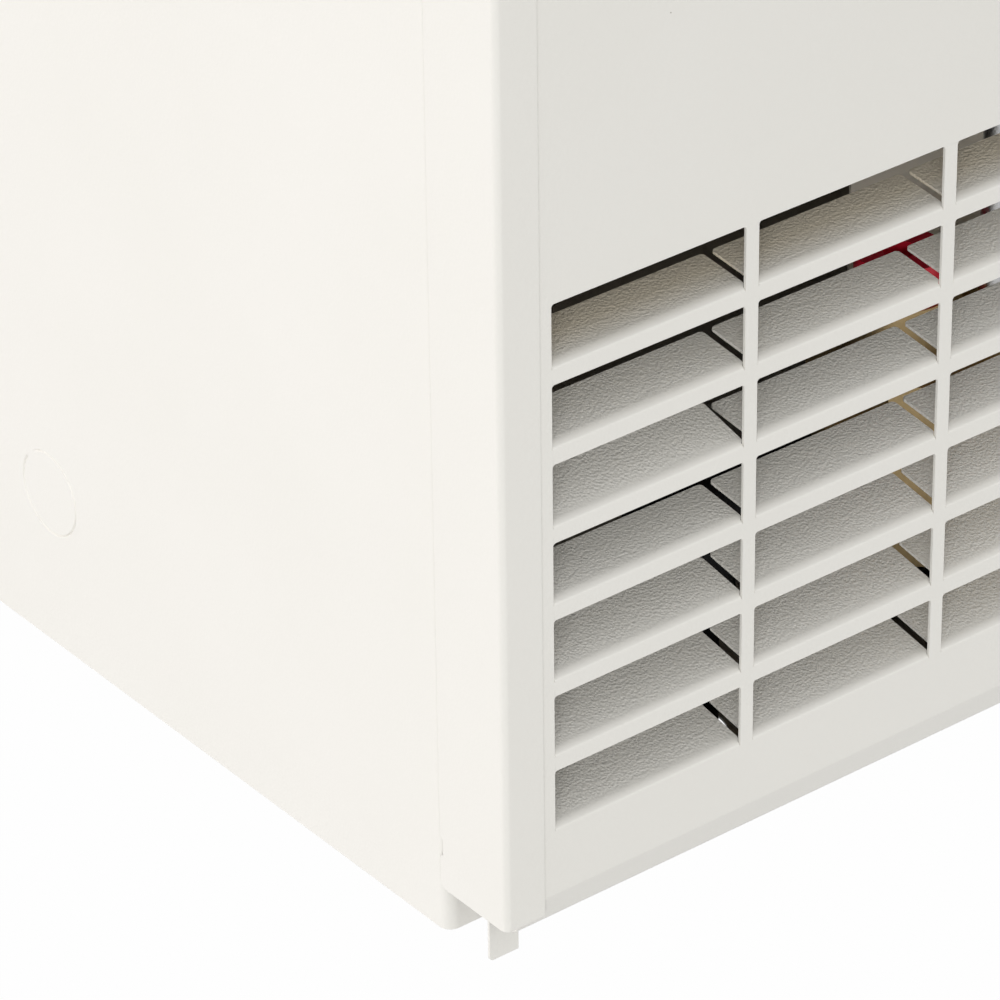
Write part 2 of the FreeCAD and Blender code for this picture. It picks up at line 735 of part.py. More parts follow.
def air_block(rear, front, margin):
    """Block as large as the inside of the air box, grown by a margin."""
    half = AIR_RADIUS + COLLAR_FLANGE + AIR_BOX_MARGIN + margin
    return box((-half, half), (front, rear), (-AIR_BOX_REACH - AIR_BOX_MARGIN - margin, half))


def air_frame(rear, front, width):
    """Closed frame round the flue and the chamber's air inlet."""
    return air_block(rear, front, width).cut(air_block(rear, front, 0))


def air_box():
    """Duct that leads air from the outer collar down to the chamber's inlet, with a flange at each end."""
    rear = -BACK_SHEET - GASKET_SHEET
    wall = air_frame(rear, chamber_rear, COLLAR_SHEET)
    flanges = [air_frame(rear, rear - COLLAR_SHEET, GASKET_WIDTH),
               air_frame(chamber_rear + COLLAR_SHEET, chamber_rear, GASKET_WIDTH)]
    return wall.fuse(flanges)


def square_flange(radius, hole, rear, front):
    """Square plate round a flue collar."""
    half = radius + COLLAR_FLANGE
    plate = box((-half, half), (front, rear), (-half, half))
    return plate.cut(cylinder(hole, Vector(0, front, 0), Vector(0, rear, 0)))


def exhaust_collar():
    """Inner flue collar with a square flange on the chamber's back plate."""
    start = Vector(0, chamber_rear, 0)
    end = Vector(0, COLLAR_REACH, 0)
    inside = EXHAUST_RADIUS - COLLAR_SHEET
    flange = square_flange(EXHAUST_RADIUS, inside, chamber_rear + COLLAR_SHEET, chamber_rear)
    return ring(EXHAUST_RADIUS, inside, start, end).fuse(flange)


def air_collar():
    """Outer air collar, necked where it passes through the back panel."""
    front = Vector(0, -BACK_SHEET - COLLAR_SHEET, 0)
    step = Vector(0, COLLAR_CLEARANCE, 0)
    end = Vector(0, COLLAR_REACH, 0)
    neck = cylinder(AIR_RADIUS - AIR_NECK, front, step)
    bore = cylinder(AIR_RADIUS - AIR_COLLAR_WALL, front, end)
    return cylinder(AIR_RADIUS, step, end).fuse(neck).cut(bore)


# Burner

def access_frame(rear, sheet, lip):
    """Access plate outline with an opening inside a lip."""
    half = ACCESS_WIDTH / 2
    low = access_bottom
    high = access_bottom + ACCESS_HEIGHT
    plate = box((-half, half), (rear - sheet, rear), (low, high))
    return plate.cut(box((lip - half, half - lip), (rear - sheet, rear), (low + lip, high - lip)))


def through_plate(radius, x, z):
    """Hole through the access plate."""
    return cylinder(radius, Vector(x, access_front, z), Vector(x, access_rear, z))


def access_plate():
    """Plate that closes the burner opening and carries burner, pilot and sight glass."""
    holes = [
        through_plate(ORIFICE_RADIUS, orifice_x, burner_z),
        sight_block(0, access_front, access_rear),
        through_plate(ELECTRODE_RADIUS, igniter_x, pilot_z),
        through_plate(PILOT_RADIUS, pilot_x, pilot_z),
        through_plate(THERMOCOUPLE_RADIUS, sensor_x, pilot_z),
    ]
    half = ACCESS_WIDTH / 2
    plate = box((-half, half), (access_front, access_rear), (access_bottom, access_bottom + ACCESS_HEIGHT))
    return plate.cut(holes)


def access_screws():
    """Hexagon heads along the rim of the access plate."""
    inset = ACCESS_LIP / 2
    heads = []
    for x in (inset - ACCESS_WIDTH / 2, 0, ACCESS_WIDTH / 2 - inset):
        for z in (access_bottom + inset, access_bottom + ACCESS_HEIGHT - inset):
            foot = Vector(x, access_front, z)
            heads.append(hexagon(ACCESS_SCREW_RADIUS, foot, foot - Vector(0, ACCESS_SCREW_HEAD, 0)))
    return group(heads)


def burner_tube():
    """Round burner with a flared mixing bell at one end and a long slot of ports along its top."""
    profile = [
        (burner_left, BURNER_BELL_RADIUS),
        (burner_left + BURNER_BELL_LENGTH, BURNER_RADIUS),
        (burner_right, BURNER_RADIUS),
        (burner_right, 0),
        (burner_left + BURNER_BELL_DEPTH, 0),
    ]
    points = [Vector(x, burner_y, burner_z + radius) for x, radius in profile]
    outline = Part.Face(Part.makePolygon(points + points[:1]))
    body = outline.revolve(Vector(0, burner_y, burner_z), Vector(1, 0, 0), 360)
    half = BURNER_PORT_LENGTH / 2
    top = burner_z + BURNER_RADIUS
    slot = box((BURNER_MIDDLE_X - half, BURNER_MIDDLE_X + half),
               (burner_y - BURNER_PORT_WIDTH / 2, burner_y + BURNER_PORT_WIDTH / 2),
               (top - BURNER_PORT_DEPTH, top))
    return body.cut(slot)


def burner_brackets():
    """Two plates with square notches that hold the burner behind the access plate."""
    plates = []
    low = burner_z - BURNER_RADIUS
    far = burner_right - BURNER_BRACKET_FROM_END
    for middle in (far - BURNER_BRACKET_SPACING, far):
        x_span = (middle - BRACKET_SHEET / 2, middle + BRACKET_SHEET / 2)
        plate = box(x_span, (access_rear, burner_y + BURNER_RADIUS + CASING_FLANGE / 2),
                    (low - CASING_FLANGE / 2, burner_z))
        notch = box(x_span, (burner_y - BURNER_RADIUS, burner_y + BURNER_RADIUS), (low, burner_z))
        plates.append(plate.cut(notch))
    return group(plates)


def elbow_leg(x, z, tube_radius):
    """Leg of an elbow, from its middle down to the tube below it."""
    middle = Vector(x, port_y, z)
    return hexagon(tube_radius + NUT_WALL, middle, middle - up * ELBOW_LEG)


def orifice_elbow():
    """Brass elbow through the access plate that aims the gas jet into the burner's bell."""
    front = Vector(orifice_x, port_y - ORIFICE_RADIUS, burner_z)
    turn = Vector(orifice_x, burner_y, burner_z)
    shoulder = Vector(orifice_x, access_front, burner_z)
    flange = hexagon(ORIFICE_RADIUS + NUT_WALL, shoulder, shoulder - Vector(0, FITTING_FLANGE, 0))
    barrel = cylinder(ORIFICE_RADIUS, front, turn + Vector(0, ORIFICE_RADIUS, 0))
    spud = hexagon(ORIFICE_SPUD_RADIUS, turn, turn + Vector(ORIFICE_RADIUS + ORIFICE_SPUD_LENGTH, 0, 0))
    return barrel.fuse([flange, spud, elbow_leg(orifice_x, burner_z, MANIFOLD_RADIUS)])


def sight_block(margin, front, rear):
    """Block of the sight hole's outline, grown by a margin."""
    half_width = SIGHT_WIDTH / 2 + margin
    half_height = SIGHT_HEIGHT / 2 + margin
    return box((GLASS_X - half_width, GLASS_X + half_width), (front, rear),
               (burner_z - half_height, burner_z + half_height))


def sight_glass():
    """Heat-resisting pane over the sight hole."""
    return sight_block(SIGHT_LIP, access_front - GLASS_SHEET, access_front)


def sight_frame():
    """Frame that holds the pane against the access plate."""
    seat = access_front - GLASS_SHEET
    front = seat - SIGHT_FRAME_SHEET
    frame = sight_block(SIGHT_LIP + SIGHT_FRAME_RIM, front, access_front)
    return frame.cut([sight_block(SIGHT_LIP, seat, access_front), sight_block(0, front, seat)])


def plate_fitting(x, radius, front, inside):
    """Bar through the access plate at pilot height, with a hexagon seated on the plate."""
    shoulder = Vector(x, access_front, pilot_z)
    flange = hexagon(radius + NUT_WALL, shoulder, shoulder - Vector(0, FITTING_FLANGE, 0))
    return cylinder(radius, Vector(x, front, pilot_z), Vector(x, inside, pilot_z)).fuse(flange)


def pilot_tip():
    """How deep the pilot pieces reach, just short of the burner."""
    return burner_y - BURNER_RADIUS - PILOT_GAP - PILOT_HOOD_LENGTH


def pilot_burner():
    """Pilot burner with its wider hood inside and its elbow outside the access plate."""
    tip = Vector(pilot_x, pilot_tip(), pilot_z)
    hood = hexagon(PILOT_HOOD_RADIUS, tip, tip + Vector(0, PILOT_HOOD_LENGTH, 0))
    barrel = plate_fitting(pilot_x, PILOT_RADIUS, port_y - PILOT_RADIUS, tip.y)
    return barrel.fuse([hood, elbow_leg(pilot_x, pilot_z, PILOT_TUBE_RADIUS)])


def spark_electrode():
    """Ceramic electrode with its wire."""
    tip = Vector(igniter_x, pilot_tip(), pilot_z)
    wire = hexagon(ELECTRODE_WIRE_RADIUS, tip, tip + Vector(0, ELECTRODE_WIRE_LENGTH, 0))
    return plate_fitting(igniter_x, ELECTRODE_RADIUS, fitting_front, tip.y).fuse(wire)


def thermocouple():
    """Flame sensor beside the pilot."""
    tip = pilot_tip() + PILOT_HOOD_LENGTH
    return plate_fitting(sensor_x, THERMOCOUPLE_RADIUS, fitting_front, tip)


# Gas valve and tubes

inlet_x = valve_left - INLET_BOSS_LENGTH - INLET_RUN
inlet_z = valve_bottom + VALVE_HEIGHT / 2
regulator_foot = Vector(valve_left + REGULATOR_INSET, rod_y, valve_top)


def port_boss(x, radius):
    """Boss for a tube on the valve's top."""
    foot = Vector(x, port_y, valve_top)
    return hexagon(radius, foot, foot + up * PORT_BOSS_LENGTH)


def gas_valve():
    """Die-cast valve body with bosses for its ports, its stem and its regulator."""
    block = box((valve_left, valve_right), (rod_y - VALVE_WIDTH / 2, rod_y + VALVE_WIDTH / 2),
                (valve_bottom, valve_top))
    upright = edges_at(block, VALVE_HEIGHT, lambda middle: True)
    body = block.makeChamfer(VALVE_CORNER, upright)
    stem_foot = Vector(rod_x, rod_y, valve_top)
    inlet_foot = Vector(valve_left, rod_y, inlet_z)
    bosses = [
        cylinder(STEM_BOSS_RADIUS, stem_foot, stem_foot + up * STEM_BOSS_HEIGHT),
        cylinder(REGULATOR_RADIUS, regulator_foot, regulator_foot + up * REGULATOR_HEIGHT),
        port_boss(orifice_x, OUTLET_BOSS_RADIUS),
        port_boss(pilot_x, PORT_BOSS_RADIUS),
        port_boss(sensor_x, PORT_BOSS_RADIUS),
        hexagon(INLET_BOSS_RADIUS, inlet_foot, inlet_foot - Vector(INLET_BOSS_LENGTH, 0, 0)),
    ]
    stem_hole = cylinder(ROD_RADIUS + SHAFT_CLEARANCE, stem_foot + up * STEM_BOSS_HEIGHT,
                         stem_foot - up * (STEM_SEAT + KNOB_TRAVEL + TURN_CLEARANCE))
    return body.fuse(bosses).cut(stem_hole)


def regulator_cap():
    """Cap screwed on the regulator, with a dimple for a driver."""
    foot = regulator_foot + up * REGULATOR_HEIGHT
    top = foot + up * CAP_HEIGHT
    cap = cylinder(CAP_RADIUS, foot, top)
    return cap.cut(hexagon(CAP_DIMPLE, top, top - up * CAP_DIMPLE))


def valve_bracket():
    """Hat-section bracket that carries the valve on the base panel."""
    x = (valve_left + valve_right - VALVE_BRACKET_LENGTH) / 2
    near = rod_y - VALVE_WIDTH / 2 + VALVE_CORNER
    far = rod_y + VALVE_WIDTH / 2 - VALVE_CORNER
    foot = base_top + BRACKET_SHEET
    points = [
        Vector(x, near - VALVE_BRACKET_FOOT, foot),
        Vector(x, near, foot),
        Vector(x, near, valve_bottom),
        Vector(x, far, valve_bottom),
        Vector(x, far, foot),
        Vector(x, far + VALVE_BRACKET_FOOT, foot),
    ]
    return folded_sheet(points, BRACKET_SHEET, BRACKET_BEND, Vector(VALVE_BRACKET_LENGTH, 0, 0), -1)


def valve_shield():
    """Upright heat shield behind the valve, with a foot on the base panel."""
    x = valve_left + SHIELD_INSET
    front = rod_y + VALVE_WIDTH / 2 + SHIELD_GAP
    points = [
        Vector(x, front, base_top + SHIELD_HEIGHT),
        Vector(x, front, base_top),
        Vector(x, front + CASING_FLANGE, base_top),
    ]
    return folded_sheet(points, CASING_SHEET, CASING_BEND, Vector(SHIELD_WIDTH, 0, 0), 1)


def gas_inlet_pipe():
    """Pipe with a mitred elbow from the valve down through the base, with an open threaded end."""
    start = Vector(valve_left - INLET_BOSS_LENGTH, rod_y, inlet_z)
    corner = Vector(inlet_x, rod_y, inlet_z)
    foot = Vector(inlet_x, rod_y, casing_bottom - INLET_THREAD_GAP)
    end = foot - up * INLET_THREAD_LENGTH
    across = Vector(1, 0, 0)
    arms = []
    reach = []
    for away in (across, -up):
        reach.append(cylinder(INLET_ELBOW_RADIUS, corner - away * INLET_ELBOW_RADIUS,
                              corner + away * INLET_ELBOW_RADIUS))
        arms.append(cylinder(INLET_ELBOW_RADIUS, corner, corner + away * INLET_ELBOW_REACH))
    elbow = arms + [reach[0].common(reach[1])]
    pipes = [cylinder(INLET_PIPE_RADIUS, start, corner), cylinder(INLET_PIPE_RADIUS, corner, foot)]
    thread = cylinder(INLET_THREAD_RADIUS, foot, end)
    return thread.fuse(elbow + pipes).cut(cylinder(INLET_BORE_RADIUS, foot, end))


def nut_top(x):
    """Where a tube leaves its nut on the valve."""
    return Vector(x, port_y, valve_top + PORT_BOSS_LENGTH + NUT_LENGTH)


def riser(x, z, radius):
    """Straight tube from its nut on the valve up to the leg of an elbow."""
    return cylinder(radius, nut_top(x), Vector(x, port_y, z - ELBOW_LEG))


def thermocouple_lead():
    """Lead from the valve up and back to the flame sensor."""
    end = Vector(sensor_x, fitting_front, pilot_z)
    return tube(nut_top(sensor_x), Vector(sensor_x, port_y, pilot_z), end, LEAD_BEND, LEAD_RADIUS)


def union_nuts():
    """Hexagon nuts where the tubes leave the valve."""
    nuts = []
    for x, radius in ((orifice_x, MANIFOLD_RADIUS), (pilot_x, PILOT_TUBE_RADIUS), (sensor_x, LEAD_RADIUS)):
        foot = Vector(x, port_y, valve_top + PORT_BOSS_LENGTH)
        nuts.append(hexagon(radius + NUT_WALL, foot, foot + up * NUT_LENGTH))
    return group(nuts)


def ignition_lead():
    """Lead from the igniter down in front of the chamber to the spark electrode."""
    start = igniter_point(casing_top - IGNITER_LENGTH)
    end = Vector(igniter_x, fitting_front, pilot_z)
    return tube(start, igniter_point(pilot_z), end, LEAD_BEND, LEAD_RADIUS)


# Controls

def rod_point(z):
    """Point on the axis of the control rod."""
    return Vector(rod_x, rod_y, z)


def knob_bezel():
    """Square plate with cut corners on the top panel, in which the dial's hub turns."""
    half = BEZEL_WIDTH / 2
    plate = box((rod_x - half, rod_x + half), (rod_y - half, rod_y + half),
                (casing_top, casing_top + BEZEL_SHEET))
    upright = edges_at(plate, BEZEL_SHEET, lambda middle: True)
    bore = cylinder(DIAL_HUB_RADIUS + SHAFT_CLEARANCE, rod_point(casing_top),
                    rod_point(casing_top + BEZEL_SHEET))
    return plate.makeChamfer(BEZEL_CORNER, upright).cut(bore)


def dial():
    """Dial that turns with the knob: a disc whose hub runs in the bezel and passes the top panel."""
    disc = cylinder(DIAL_RADIUS, rod_point(dial_bottom), rod_point(dial_top))
    hub = cylinder(DIAL_HUB_RADIUS, rod_point(shank_bottom), rod_point(dial_bottom))
    bore = hexagon(KNOB_SHANK_RADIUS + TURN_CLEARANCE, rod_point(shank_bottom), rod_point(dial_top))
    return disc.fuse(hub).cut(bore)


def control_knob():
    """Knob with flats for the fingers and a hexagonal shank that slides in the dial."""
    top = knob_bottom + KNOB_HEIGHT
    corners = []
    for index in range(KNOB_FLATS + 1):
        angle = 2 * math.pi * index / KNOB_FLATS
        corners.append(rod_point(knob_bottom) + Vector(math.cos(angle), math.sin(angle), 0) * KNOB_RADIUS)
    grip = Part.Face(Part.makePolygon(corners)).extrude(up * KNOB_HEIGHT)
    flat = 2 * KNOB_RADIUS * math.sin(math.pi / KNOB_FLATS)
    rim = edges_at(grip, flat, lambda middle: middle.z > top - KNOB_EDGE)
    shank = hexagon(KNOB_SHANK_RADIUS, rod_point(shank_bottom), rod_point(knob_bottom))
    socket = cylinder(ROD_RADIUS, rod_point(shank_bottom), rod_point(knob_bottom))
    return grip.makeChamfer(KNOB_EDGE, rim).fuse(shank).cut(socket)


stem_top = stem_boss_top + STEM_LENGTH


def valve_stem():
    """Stem that slides and turns in the valve."""
    return cylinder(ROD_RADIUS, rod_point(valve_top - STEM_SEAT), rod_point(stem_top))


def control_rod():
    """Long rod from the valve stem up to the knob."""
    return cylinder(ROD_RADIUS, rod_point(stem_top), rod_point(knob_bottom))


def rod_coupling():
    """Hexagonal sleeve that joins rod and stem."""
    half = COUPLING_LENGTH / 2
    foot = rod_point(stem_top - half)
    top = rod_point(stem_top + half)
    return hexagon(COUPLING_RADIUS, foot, top).cut(cylinder(ROD_RADIUS, foot, top))


# Igniter

def igniter_point(z):
    """Point on the axis of the igniter."""
    return Vector(igniter_x, rod_y, z)


def igniter_body():
    """Piezo igniter hung in the top panel by its hexagonal flange, with a bore for the button."""
    flange_top = casing_top + IGNITER_FLANGE
    barrel = cylinder(IGNITER_RADIUS, igniter_point(casing_top - IGNITER_LENGTH), igniter_point(casing_top))
    flange = hexagon(IGNITER_FLANGE_RADIUS, igniter_point(casing_top), igniter_point(flange_top))
    depth = BUTTON_SEAT + BUTTON_TRAVEL + TURN_CLEARANCE
    bore = cylinder(BUTTON_RADIUS + SHAFT_CLEARANCE, igniter_point(flange_top - depth),
                    igniter_point(flange_top))
    return barrel.fuse(flange).cut(bore)


def igniter_button():
    """Push button of the igniter."""
    flange_top = casing_top + IGNITER_FLANGE
    foot = igniter_point(flange_top - BUTTON_SEAT)
    return cylinder(BUTTON_RADIUS, foot, igniter_point(flange_top + BUTTON_RISE))


def pieces():
    """Every piece of the heater by name."""
    left_side = side_panel()
    left_channel = side_channel()
    left_tab = cover_tab()
    left_hooks = [cover_hook(bottom) for bottom in hook_bottoms()]
    right_bracket = chamber_bracket()
    return {
        "back_panel": back_panel(),
        "side_panel_left": left_side.cut(knockout()),
        "side_panel_right": mirrored(left_side),
        "top_panel": top_panel(),
        "base_panel": base_panel(),
        "front_panel": front_panel(),
        "cover_channel_left": left_channel,
        "cover_channel_right": mirrored(left_channel),
        "cover_channel_top": top_channel(),
        "cover_tabs": group([left_tab, mirrored(left_tab)]),
        "cover_hooks": group(left_hooks + [mirrored(hook) for hook in left_hooks]),
        "chamber_pan": chamber_pan(),
        "chamber_back_plate": chamber_back_plate(),
        "chamber_brackets": group([right_bracket, mirrored(right_bracket)]),
        "exhaust_collar": exhaust_collar(),
        "air_collar": air_collar(),
        "air_flange": square_flange(AIR_RADIUS, AIR_RADIUS - AIR_NECK + COLLAR_CLEARANCE,
                                    -BACK_SHEET, -BACK_SHEET - COLLAR_SHEET),
        "air_box": air_box(),
        "air_box_gasket": air_frame(-BACK_SHEET, -BACK_SHEET - GASKET_SHEET, GASKET_WIDTH),
        "access_plate": access_plate(),
        "access_gasket": access_frame(pan_front, GASKET_SHEET, ACCESS_LIP),
        "access_screws": access_screws(),
        "sight_glass": sight_glass(),
        "sight_frame": sight_frame(),
        "burner_tube": burner_tube(),
        "burner_brackets": burner_brackets(),
        "orifice_elbow": orifice_elbow(),
        "pilot_burner": pilot_burner(),
        "spark_electrode": spark_electrode(),
        "thermocouple": thermocouple(),
        "gas_valve": gas_valve(),
        "regulator_cap": regulator_cap(),
        "valve_bracket": valve_bracket(),
        "gas_inlet_pipe": gas_inlet_pipe(),
        "valve_shield": valve_shield(),
        "manifold_tube": riser(orifice_x, burner_z, MANIFOLD_RADIUS),
        "pilot_tube": riser(pilot_x, pilot_z, PILOT_TUBE_RADIUS),
        "thermocouple_lead": thermocouple_lead(),
        "union_nuts": union_nuts(),
        "ignition_lead": ignition_lead(),
        "knob_bezel": knob_bezel(),
        "dial": dial(),
        "control_knob": control_knob(),
        "control_rod": control_rod(),
        "rod_coupling": rod_coupling(),
        "valve_stem": valve_stem(),
        "igniter_body": igniter_body(),
        "igniter_button": igniter_button(),
    }


def main():
    """Write each piece to its own file."""
    os.makedirs("parts", exist_ok=True)
    for name, shape in pieces().items():
        shape.exportStep(os.path.join("parts", name + ".step"))


main()
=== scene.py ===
"""Looks of a direct-vent gas wall heater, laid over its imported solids. Metres, in the frame of the solids."""
import json
import math

import bmesh
import bpy
from mathutils import Matrix, Vector


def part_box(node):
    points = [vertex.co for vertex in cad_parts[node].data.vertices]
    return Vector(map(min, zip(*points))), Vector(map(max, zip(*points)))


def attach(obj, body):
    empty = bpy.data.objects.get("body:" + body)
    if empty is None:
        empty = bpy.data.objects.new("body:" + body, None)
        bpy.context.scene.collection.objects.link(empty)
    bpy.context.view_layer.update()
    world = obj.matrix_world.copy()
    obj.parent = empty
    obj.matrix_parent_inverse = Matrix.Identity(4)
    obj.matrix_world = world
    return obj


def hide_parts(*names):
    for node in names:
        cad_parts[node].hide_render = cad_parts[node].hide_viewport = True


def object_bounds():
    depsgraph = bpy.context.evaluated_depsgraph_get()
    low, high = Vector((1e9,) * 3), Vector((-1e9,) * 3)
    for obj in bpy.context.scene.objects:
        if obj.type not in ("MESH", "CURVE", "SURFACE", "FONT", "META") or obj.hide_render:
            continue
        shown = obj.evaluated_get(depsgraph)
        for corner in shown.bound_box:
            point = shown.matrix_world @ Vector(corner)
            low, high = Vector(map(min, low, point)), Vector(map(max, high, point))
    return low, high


bl_info = {
    "name": "Gas Wall Heater",
    "version": (1, 0, 0),
    "blender": (4, 5, 0),
    "location": "3D View > Sidebar > Heater",
    "description": "Dresses the solids of a direct-vent gas wall heater and sets its stage",
    "category": "Object",
}

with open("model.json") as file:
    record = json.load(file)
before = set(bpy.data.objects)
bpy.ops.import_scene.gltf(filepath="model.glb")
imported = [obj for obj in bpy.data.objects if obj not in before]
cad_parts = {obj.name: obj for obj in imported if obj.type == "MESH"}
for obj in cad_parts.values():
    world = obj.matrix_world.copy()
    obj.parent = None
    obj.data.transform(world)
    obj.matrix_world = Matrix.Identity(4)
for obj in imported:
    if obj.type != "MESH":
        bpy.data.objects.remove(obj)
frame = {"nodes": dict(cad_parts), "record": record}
solids_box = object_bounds()
panel_low, panel_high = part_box("front_panel")
casing_low, casing_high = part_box("side_panel_left")
channel_low, channel_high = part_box("cover_channel_left")
top_channel_low, top_channel_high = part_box("cover_channel_top")
tabs_low, tabs_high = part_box("cover_tabs")
hooks_low, hooks_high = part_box("cover_hooks")
base_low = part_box("base_panel")[0]

# To the right, into the wall and up
X = Vector((1, 0, 0))
Y = Vector((0, 1, 0))
Z = Vector((0, 0, 1))

# A millimetre, a quarter turn and the angle on the top panel that points into the room
MM = 0.001
QUARTER = math.pi / 2
FRONTWARD = -math.pi / 2

# Place of the louvres' coat and of the printed ink in a piece's list of finishes
LOUVRE_FINISH = 1
MARK_FINISH = 1

# Points round a moulded piece and round the knock-out
RING_POINTS = 96
KNOCKOUT_POINTS = 72

# Sides of the knob's grip and of the hexagonal bars
KNOB_FLATS = 12
HEXAGON = 6

# Between which shares of its reach each printed mark lies
POINTER_SPAN = (0.2, 0.96)
DIAL_MARK_SPAN = (0.81, 0.93)
INDEX_SPAN = (0.935, 0.98)

# Angles from which an edge of a sheet is rounded and an edge of a moulding stays sharp
ROUNDED_FROM = math.radians(50)
SHARP_FROM = math.radians(28)


# Sizes and colours that a user may change

def length(name, description, millimetres):
    """Length property given in millimetres."""
    return bpy.props.FloatProperty(
        name=name, description=description, default=millimetres * MM, unit="LENGTH", precision=5)


def turn(name, description, degrees):
    """Angle property given in degrees."""
    return bpy.props.FloatProperty(
        name=name, description=description, default=math.radians(degrees), unit="ROTATION")


def number(name, description, default, least=0):
    """Property that counts."""
    return bpy.props.IntProperty(name=name, description=description, default=default, min=least)


def colour(name, description, code):
    """Colour property given as an sRGB hex value."""
    return bpy.props.StringProperty(name=name, description=description, default=code)


class HeaterSizes(bpy.types.PropertyGroup):
    """Sizes of the folded sheet pieces and of the controls."""
    sheet: length("Sheet", "Thickness of the casing and cover sheet", 0.7)
    edge: length("Edge", "Rounding of the sheet's cut edges under the paint", 0.14)
    casing_bend: length("Casing bend", "Outside radius of the casing's folds", 3.2)
    cover_bend: length("Cover bend", "Outside radius of the cover's folds", 1.8)
    side_corner: length("Side corner", "Radius of the lower rear corner of the cover's sides", 2.0)
    hook_notch: length("Hook notch", "Depth of the notch in the cover's side beside a hook", 1.0)
    hook_notch_height: length("Hook notch height", "Height of that notch", 6.0)
    hook_notch_rise: length("Hook notch rise", "Height of the notch above the cover's bottom", 8.5)
    hook_height: length("Hook height", "Height of a hook", 7.0)
    slit_rise: length("Slit rise", "Height of a slit in the casing above its hook's lower end", 3.0)
    slit_height: length("Slit height", "Height of a slit", 7.3)
    slit_width: length("Slit width", "Width of a slit, from the inside of the casing's side", 1.5)
    lip_height: length("Lip height", "Height of the slanting lip below the front panel", 8.3)
    lip_bend: length("Lip bend", "Outside radius of the lip's folds", 2.0)
    lip_angle: turn("Lip angle", "Slant of the lip from upright", 18)
    hem_gap: length("Hem gap", "Distance of the hem's short ends from the tabs behind them", 0.4)
    hem_notch: length("Hem notch", "Reach of the notch for a tab, from the tab's outer face", 10.1)
    tab_width: length("Tab width", "Width of a tab's front leg", 9.7)
    tab_step: length("Tab step", "How far the hanging end of a tab is set in", 1.3)
    tab_bend: length("Tab bend", "Radius of a tab's fold and of its lower corner", 1.2)
    slot_width: length("Slot width", "Width of a louvre slot", 54.5)
    slot_height: length("Slot height", "Height of a louvre slot", 16.2)
    column_pitch: length("Column pitch", "Distance between louvre columns", 58.2)
    row_pitch: length("Row pitch", "Distance between louvre rows", 20.0)
    grille_rise: length("Grille rise", "Lowest louvre above the cover's bottom edge", 25.7)
    slot_corner: length("Slot corner", "Radius of a slot's upper corners", 0.8)
    relief: length("Relief", "Width of the slit at each end of a louvre's fold", 0.2)
    fin_nose: length("Fin nose", "Outside radius where a louvre leaves the sheet", 0.7)
    nose_turn: turn("Nose turn", "How far the tight bend turns a louvre", 55)
    fin_bend: length("Fin bend", "Radius of the wide bend behind the tight one", 5.0)
    fin_corner: length("Fin corner", "Radius of a louvre's free corners", 1.0)
    fin_spread: length("Fin spread", "Reach of a louvre's ends past its slot behind the sheet", 0.6)
    columns: number("Columns", "Louvre columns", 8, 1)
    fin_angles: bpy.props.FloatVectorProperty(
        name="Fin angles", description="Fold of each louvre row, from the lowest row up", size=7,
        default=[math.radians(fold) for fold in (79.6, 79.6, 80.1, 83.2, 83.2, 83.8, 84.8)],
        unit="ROTATION")
    stray_column: number("Stray column", "Column of a louvre bent too little", 0)
    stray_row: number("Stray row", "Row of a louvre bent too little", 4)
    stray_angle: turn("Stray angle", "Fold of the louvre bent too little", 76)
    knockout_radius: length("Knock-out radius", "Radius of the round knock-out in the left side", 11.5)
    knockout_from_wall: length("Knock-out from wall", "Distance of its middle from the wall", 40.2)
    knockout_rise: length("Knock-out rise", "Height of its middle above the bottom", 43.8)
    knockout_groove: length("Knock-out groove", "Width of its painted-over slit", 0.7)
    knockout_depth: length("Knock-out depth", "Depth of that slit under the paint", 0.45)
    knockout_bridge: turn("Knock-out bridge", "Place of the bridge that holds the blank", 47.5)
    bridge_half: turn("Bridge half", "Half of the bridge's width", 9)
    knob_height: length("Knob height", "Height of the knob's grip", 20.0)
    knob_hollow: length("Knob hollow", "How far the grip's flats are hollowed", 0.6)
    knob_edge: length("Knob edge", "Rounding of the grip's upper edge", 1.5)
    knob_dish: length("Knob dish", "Depth of the dish in the knob's top", 0.7)
    pointer: length("Pointer", "Width of the knob's pointer", 2.2)
    rod_radius: length("Rod radius", "Radius of the rod in the knob's shank", 4.0)
    shank_reach: length("Shank reach", "Distance of the shank's flats from its axis", 7.5)
    clearance: length("Clearance", "Play of the shank in the dial", 0.3)
    running_gap: length("Running gap", "Play of a turning or sliding piece in its bore", 0.05)
    dial_sheet: length("Dial sheet", "Thickness of the dial's disc", 2.6)
    dial_edge: length("Dial edge", "Rounding of the dial, its plate and the igniter", 0.4)
    hub_radius: length("Hub radius", "Radius of the dial's hub", 11.0)
    dial_marks: number("Dial marks", "Printed marks on the dial", 9, 2)
    dial_turn: turn("Dial turn", "How far the dial turns", 270)
    mark_width: length("Mark width", "Middle width of the printed marks", 1.2)
    ink: length("Ink", "Thickness of the printed ink", 0.05)
    bezel_corner: length("Bezel corner", "Leg of the plate's cut corners", 6.0)
    igniter_radius: length("Igniter radius", "Radius of the igniter's barrel", 9.0)
    igniter_flange: length("Igniter flange", "Thickness of the igniter's flange", 2.5)
    igniter_travel: length("Igniter travel", "Depth of the bore below the button", 5.3)


